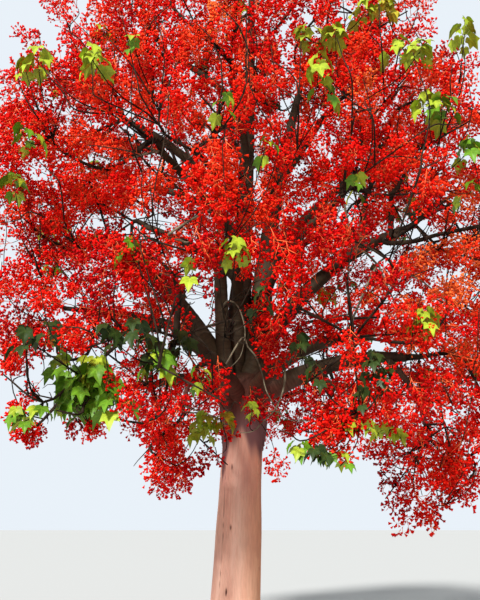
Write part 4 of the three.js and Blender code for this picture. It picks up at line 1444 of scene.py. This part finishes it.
def trunk_bark():
    """Smooth salmon bark in soft upright streaks, darker and warmer on its right side as painted shade.
    Towards the fork it is blushed, then mauve with painted shade of the crown, then rusty and dark brown,
    partly its own darker bark and partly painted shade.
    """
    bark = Finish("trunk_bark", BARK_SALMON, roughness=0.75, specular=0.2)
    place = bark.place()
    streaks = bark.noise(place, TRUNK_STREAKS, detail=5, roughness=0.6)
    colour = bark.ramp(streaks, (0.26, BARK_ROSE), (0.5, BARK_SALMON), (0.76, BARK_PALE))
    patches = bark.ramp(bark.noise(place, TRUNK_PATCHES), (0.5, BLACK), (0.66, WHITE))
    colour = bark.mix(patches, colour, bark.mix(0.5, colour, BARK_BLUSH))
    fine = bark.noise(place, TRUNK_SPECKS)
    colour = bark.mix(0.45, colour, bark.ramp(fine, (0.3, BARK_SPECK), (0.6, WHITE)), "MULTIPLY")
    # Painted shade: darker and warmer on the trunk's right side, away from the key light
    colour = bark.mix(bark.attribute("side_shade"), colour, bark.mix(1.0, colour, BARK_SIDE_SHADE, "MULTIPLY"))
    blushed = bark.above(place, BLUSH_BAND, waver=0.3)
    colour = bark.mix(blushed, colour, bark.mix(0.3, colour, BARK_BLUSH))
    # Mauve painted shade of the crown below the fork
    colour = bark.mix(bark.attribute("mauve_shade"), colour, BARK_MAUVE_SHADE)
    # Rusty and dark brown at the fork: partly the limbs' own darker bark, partly painted shade
    for band, tone, waver in ((RUST_AND_SHADE_BAND, BARK_RUST_AND_SHADE, 0.1), (DARK_AND_SHADE_BAND, BARK_DARK_AND_SHADE, 0.05)):
        colour = bark.mix(bark.above(place, band, waver), colour, tone)
    colour = bark.mix(bark.attribute("cut"), colour, BARK_CUT)
    return bark.finished(colour, fine, strength=0.35, distance=0.003)


def bough_bark():
    """Dark brown bark with fine rings round the limb and grey-green patches, in the limb's own place. Its
    darkness is partly the limbs' own bark, partly painted shade of the crown.

    Low down it takes the trunk's colours: the mauve painted shade of the crown, and rusty brown that is
    partly painted shade."""
    bark = Finish("bough_bark", BARK_DARK_AND_SHADE, roughness=0.78, specular=0.2)
    limb_place = bark.attribute("limb_place", "Vector")
    patches = bark.noise(limb_place, LIMB_PATCHES)
    colour = bark.ramp(patches, (0.35, BARK_DARK_AND_SHADE), (0.5, BARK_OLIVE), (0.68, BARK_GREY))
    place = bark.place()
    # Near the fork, the trunk's rusty brown and mauve: painted shade of the crown, the rust partly the bark's
    # own
    for band, tone in ((DARK_AND_SHADE_BAND, BARK_RUST_AND_SHADE), (RUST_AND_SHADE_BAND, BARK_MAUVE_SHADE)):
        colour = bark.mix(bark.above(place, band, waver=0.1), tone, colour)
    rings = bark.noise(limb_place, LIMB_RINGS, detail=4)
    colour = bark.mix(0.8, colour, bark.ramp(rings, (0.35, RING_SHADE), (0.6, WHITE)), "MULTIPLY")
    return bark.finished(colour, rings, strength=0.6, distance=0.004)


def twig_bark(name, dark, light):
    """Twigs with dark and lighter stretches."""
    bark = Finish(name, dark, roughness=0.85, specular=0.1)
    patches = bark.noise(bark.place(), TWIG_PATCHES)
    colour = bark.ramp(patches, (0.4, dark), (0.66, light))
    return bark.finished(colour, patches, strength=0.3, distance=0.002)


def lighter(colour, changes):
    """A lighter tint of a colour: each channel raised by a factor and a little more, up to full."""
    return tuple(min(1.0, channel * factor + more) for channel, (factor, more) in zip(colour, changes))


def petal(name, colour):
    """Waxy petals: one tint, a little lighter and darker from bell to bell, the lighter patches partly
    painted highlight.
    """
    wax = Finish("petal_" + name, colour, roughness=0.6, specular=0.06)
    change = wax.noise(wax.place(), PETAL_PATCHES, detail=2)
    deep, light = tuple(PETAL_DEEP * c for c in colour), lighter(colour, PETAL_LIGHT)
    tint = wax.ramp(change, (0.32, deep), (0.5, colour), (0.68, light))
    return wax.finished(tint, change, strength=0.2, distance=0.002)


def leaf_skin(name, colour):
    """Glossy leaf: paler along its ribs, with soft patches."""
    skin = Finish("leaf_" + name, colour, roughness=0.45, specular=0.25)
    patches = skin.noise(skin.place(), LEAF_PATCHES)
    flesh = skin.ramp(patches, (0.35, tuple(LEAF_DEEP * c for c in colour)), (0.6, colour))
    rib = skin.ramp(skin.attribute("rib"), (0.8, BLACK), (1.0, RIB_SHARE))
    tint = skin.mix(rib, flesh, lighter(colour, LEAF_PALE))
    return skin.finished(tint, patches, strength=0.25, distance=0.002)


# Building

BELL_PIECE_TRIANGLES = 196000
PIECE_LETTERS = "abcdef"

# Low panicles hang loose: below this height more and more of them are skipped
FRINGE_HEIGHT = 2.35
FRINGE_DEPTH = 1.1
MOST_SKIPPED = 0.55
FRONT_WAY_CHANGE = 0.5

TUFT_MARGIN = 0.23
SHOOT_DROP = 0.35
SHOOT_BEND = 0.6
SHOOT_RISE = 0.6

# Tufts all round the crown's rim behind the front: how many, how far out and behind, and their leaves
RIM_TUFTS = 70
RIM_FROM = 0.72
RIM_BEHIND = 0.3
RIM_MIDDLE = np.array([*CROWN_AXIS, 4.4])
RIM_PUSH = 0.12
RIM_LEAVES = (5, 11)
# Some rim tufts take the dark tint: painted shade
RIM_TINTS = (GREEN, LIT, SHADED, GREEN)

# The large cluster of leaves at the lower left: its middle, half sizes, shoots and leaves on each
CLUSTER_CENTRE = np.array([-1.34, -0.85, 2.72])
CLUSTER_SIZE = np.array([0.3, 0.2, 0.24])
CLUSTER_FROM = 0.3
CLUSTER_SHOOTS = 17
CLUSTER_LEAVES = 6
CLUSTER_LEAF_SCALE = 1.3
CLUSTER_LIT_FROM = 0.7


def grow_crown(masses, stretches):
    """Twigs and panicle sites, mass by mass."""
    crown = []
    for k, mass in enumerate(masses):
        sprays = scatter_sprays(k, masses, stretches, k + 1)
        twigs = twig_tree(mass, sprays, stretches)
        crown.append(dict(twigs=twigs, sites=panicle_sites(k, masses, stretches, k + 1)))
    return crown


def twig_tubes(twigs):
    """A tube along each twig."""
    return [tubes(twig["path"][None], twig["radii"][None], TWIG_SIDES) for twig in twigs]


def panicle_twigs(sites, twigs):
    """Fine twigs from the nearest twig to the foot of each panicle."""
    feet = panicle_feet(sites)
    return fine_twigs(nearest_on_twigs(feet, twigs), feet, sites["way"])


def front_sites(centres, stretches, rng):
    """Sites of the front panicles: each hangs where its picture point first meets bloom or limb."""
    places = np.array([front_point(px, py, centres, stretches) for px, py in FRONT_PANICLES])
    count = len(places)
    way = unit(rng.normal(size=(count, 3)) * FRONT_WAY_CHANGE - UP)
    side = unit(np.cross(way, rng.normal(size=(count, 3))))
    length = rng.uniform(*SPRAYS["blossom"]["length"], count)
    return dict(centre=held_in(places, PANICLE_MARGIN), way=way, side=side, flat=np.cross(way, side),
                length=length)


def all_sites(crown, stretches, grown, rng):
    """Sites of all the panicles that bloom, the front ones last, and those of the front ones alone."""
    sites = {name: np.concatenate([part["sites"][name] for part in crown]) for name in crown[0]["sites"]}
    centres = sites["centre"]
    skipped = np.clip((FRINGE_HEIGHT - centres[:, 2]) / FRINGE_DEPTH, 0, MOST_SKIPPED)
    bloom = ~in_openings(centres) & (rng.uniform(0, 1, len(centres)) >= skipped)
    bloom &= ~hides_bare_limbs(centres, grown)
    front = front_sites(centres[bloom], stretches, rng)
    return {name: np.concatenate([values[bloom], front[name]]) for name, values in sites.items()}, front


def add_blossom(crown, stretches, grown, nodes):
    """Panicles of every mass, dealt out to a kind and a tint, and joined tint by tint.

    Gives the places of all, and the sites of the front ones, which twigs still have to reach."""
    rng = np.random.default_rng(BLOOM_SEED)
    kinds = [panicle_kind(PANICLE_SEED + i) for i in range(PANICLE_KINDS)]
    sites, front = all_sites(crown, stretches, grown, rng)
    kind_of = rng.integers(0, PANICLE_KINDS, len(sites["centre"]))
    tint_of = deal_tints(sites["centre"], rng)
    stalks = []
    for t, (name, colour) in enumerate(TINTS.items()):
        bells = []
        for k, kind in enumerate(kinds):
            chosen = (kind_of == k) & (tint_of == t)
            if chosen.any():
                bell_shell, stalk_shell = panicle_shells(kind, {n: s[chosen] for n, s in sites.items()})
                bells.append(bell_shell)
                stalks.append(stalk_shell)
        add_tinted_bells(name, join(bells), petal(name, colour), nodes)
    stalk = Finish("panicle_stalk", STALK_COLOUR, roughness=0.5, specular=0.4).material
    add_piece("panicle_stalks", join(stalks), stalk, nodes)
    return sites["centre"], front


def add_tinted_bells(name, shell, material, nodes):
    """The bells of one tint, in as many pieces as keep each under its share of triangles."""
    points, faces = shell
    bells = len(points) // SPIKE_CORNERS
    count = math.ceil(len(faces) / BELL_PIECE_TRIANGLES)
    for i in range(count):
        first = bells * i // count * SPIKE_CORNERS
        last = bells * (i + 1) // count * SPIKE_CORNERS
        label = "bells_" + name + ("" if count == 1 else "_" + PIECE_LETTERS[i])
        # A bell has as many faces as corners, so one range picks out both
        add_piece(label, (points[first:last], faces[first:last] - first), material, nodes)


def place_tufts(centres, stretches, rng):
    """Tufts that show from the front, others all round, and the leafy mass's own.

    Each is its place, how many leaves it has, their tint and their scale."""
    tufts = []
    for px, py, count, tint, scale in FRONT_TUFTS:
        place = front_point(px, py, centres, stretches)
        tufts.append((place, count, tint, scale))
        tufts.append((place, math.ceil(count * SECOND_SHARE), SECOND_TINT[tint], scale))
    rim = centres[(share_of_radius(centres) > RIM_FROM) & (centres[:, 1] > RIM_BEHIND)]
    for i in rng.permutation(len(rim))[:RIM_TUFTS]:
        place = rim[i] + unit(rim[i] - RIM_MIDDLE) * RIM_PUSH
        tint = RIM_TINTS[rng.integers(0, len(RIM_TINTS))]
        tufts.append((place, int(rng.integers(*RIM_LEAVES)), tint, 1.0))
    for offset in rng.normal(size=(CLUSTER_SHOOTS, 3)):
        place = CLUSTER_CENTRE + unit(offset) * rng.uniform(CLUSTER_FROM, 1) * CLUSTER_SIZE
        tint = LIT if offset[2] > CLUSTER_LIT_FROM else GREEN
        tufts.append((place, CLUSTER_LEAVES, tint, CLUSTER_LEAF_SCALE))
    return tufts


def add_leaves(twigs, centres, stretches):
    """The tufts' leaves, joined tint by tint, and their stalks. Gives the shoots that carry them."""
    rng = np.random.default_rng(LEAF_SEED)
    tufts = place_tufts(centres, stretches, rng)
    places = held_in(np.array([row[0] for row in tufts]), TUFT_MARGIN)
    looks = [row[1:] for row in tufts]
    roots = nearest_on_twigs(places - UP * SHOOT_DROP, twigs)
    ways = unit(unit(places - roots[0]) + UP * SHOOT_RISE)
    nodes = ["left_leaves_mass"]
    stalks = []
    for tint, colour in LEAF_TINTS.items():
        made = [tuft(place, way, count, rng, scale)
                for place, way, (count, name, scale) in zip(places, ways, looks) if name == tint]
        leaves = {key: np.concatenate([m[key] for m in made]) for key in made[0]}
        stalks.append(spikes(leaves["roots"], leaves["ends"] + leaves["courses"] * STALK_SUNK, STALK_RADIUS))
        shell, rib = put_leaves(leaves["ends"], leaves["courses"], leaves["normals"], leaves["sizes"])
        piece = add_piece("leaves_" + tint, shell, leaf_skin(tint, colour), nodes, [("rib", rib)])
        piece.data.set_sharp_from_angle(angle=LEAF_RIM_ANGLE)
    stalk = Finish("leaf_stalk", LEAF_STALK_COLOUR, roughness=0.5, specular=0.4).material
    add_piece("leaf_stalks", join(stalks), stalk, nodes)
    return fine_twigs(roots, places, ways, SHOOT_BEND, SHOOT_RADII)


def add_bark(grown):
    trunk, looks = trunk_shell()
    add_piece("trunk_bark", trunk, trunk_bark(), ["trunk"], looks)
    shells, places = zip(*[limb_shell(row, index) for index, row in enumerate(grown.values())])
    looks = [("limb_place", np.concatenate(places))]
    add_piece("bough_bark", join(shells), bough_bark(), list(grown), looks)


def add_tree():
    grown = grow_limbs()
    stretches = limb_stretches(grown)
    masses = place_masses(grown)
    nodes = [mass["name"] + "_mass" for mass in masses]
    crown = grow_crown(masses, stretches)
    crown_twigs = [twig for part in crown for twig in part["twigs"]]
    add_bark(grown)
    centres, front = add_blossom(crown, stretches, grown, nodes)
    dark = stray_twigs(DARK_BOUGHS, stretches)
    grey = stray_twigs(GREY_TWIGS, stretches)
    twigs = crown_twigs + dark + grey
    shells = []
    for part in crown:
        shells += twig_tubes(part["twigs"]) + [panicle_twigs(part["sites"], part["twigs"])]
    shells += [add_leaves(twigs, centres, stretches), bare_shoots(crown_twigs, centres)]
    shells += [panicle_twigs(front, twigs)] + twig_tubes(dark + front_twigs(centres, stretches, twigs))
    # The crown's twigs near black: partly their own dark bark, partly painted shade
    bark = twig_bark("twig_bark", TWIG_DARK_AND_SHADE, TWIG_BROWN)
    add_piece("twigs", join(shells), bark, nodes)
    bark = twig_bark("bare_twig_bark", BARE_TWIG_BROWN, TWIG_GREY)
    add_piece("bare_twigs", join(twig_tubes(grey)), bark, nodes)


# Studio

FLOOR_HALF = 60.0
FLOOR_COLOUR = (0.54, 0.54, 0.52)
SKY_COLOUR = (0.86, 0.93, 1.0)
SKY_SEEN = 0.95
SKY_LIGHT = 0.45
KEY_STRENGTH = 5.5
KEY_ANGLE = 0.14
KEY_FROM = (-0.35, -0.8, 0.7)
FILL_STRENGTH = 0.4
FILL_ANGLE = 0.42
FILL_FROM = (0.8, -0.5, 0.3)


def add_floor():
    corners = [(x * FLOOR_HALF, y * FLOOR_HALF, 0) for x, y in ((-1, -1), (1, -1), (1, 1), (-1, 1))]
    mesh = bpy.data.meshes.new("floor")
    mesh.from_pydata(corners, [], [(0, 1, 2, 3)])
    mesh.materials.append(Finish("floor", FLOOR_COLOUR, roughness=0.9, specular=0.1).material)
    add_object("floor", mesh)


def add_sun(name, source, strength, angle):
    light = bpy.data.lights.new(name, "SUN")
    light.energy = strength
    light.angle = angle
    sun = add_object(name, light)
    sun.rotation_mode = "QUATERNION"
    sun.rotation_quaternion = (-Vector(source)).to_track_quat("-Z", "Y")


def add_sky():
    """A plain sky that looks brighter to the camera than it lights the tree."""
    world = bpy.data.worlds.new("sky")
    world.use_nodes = True
    nodes = world.node_tree.nodes
    links = world.node_tree.links
    background = nodes["Background"].inputs
    background["Color"].default_value = (*SKY_COLOUR, 1)
    strength = nodes.new("ShaderNodeMapRange")
    strength.inputs["To Min"].default_value = SKY_LIGHT
    strength.inputs["To Max"].default_value = SKY_SEEN
    links.new(nodes.new("ShaderNodeLightPath").outputs["Is Camera Ray"], strength.inputs["Value"])
    links.new(strength.outputs["Result"], background["Strength"])
    bpy.context.scene.world = world


def add_camera():
    data = bpy.data.cameras.new("camera")
    data.lens = LENS
    data.sensor_width = SENSOR_LONG_SIDE
    camera = add_object("camera", data)
    camera.location = EYE
    camera.rotation_euler = (math.pi / 2 + EYE_RISE, 0, 0)
    bpy.context.scene.camera = camera


add_tree()
add_floor()
add_sky()
add_sun("key", KEY_FROM, KEY_STRENGTH, KEY_ANGLE)
add_sun("fill", FILL_FROM, FILL_STRENGTH, FILL_ANGLE)
add_camera()
bpy.context.scene.view_settings.view_transform = "Standard"
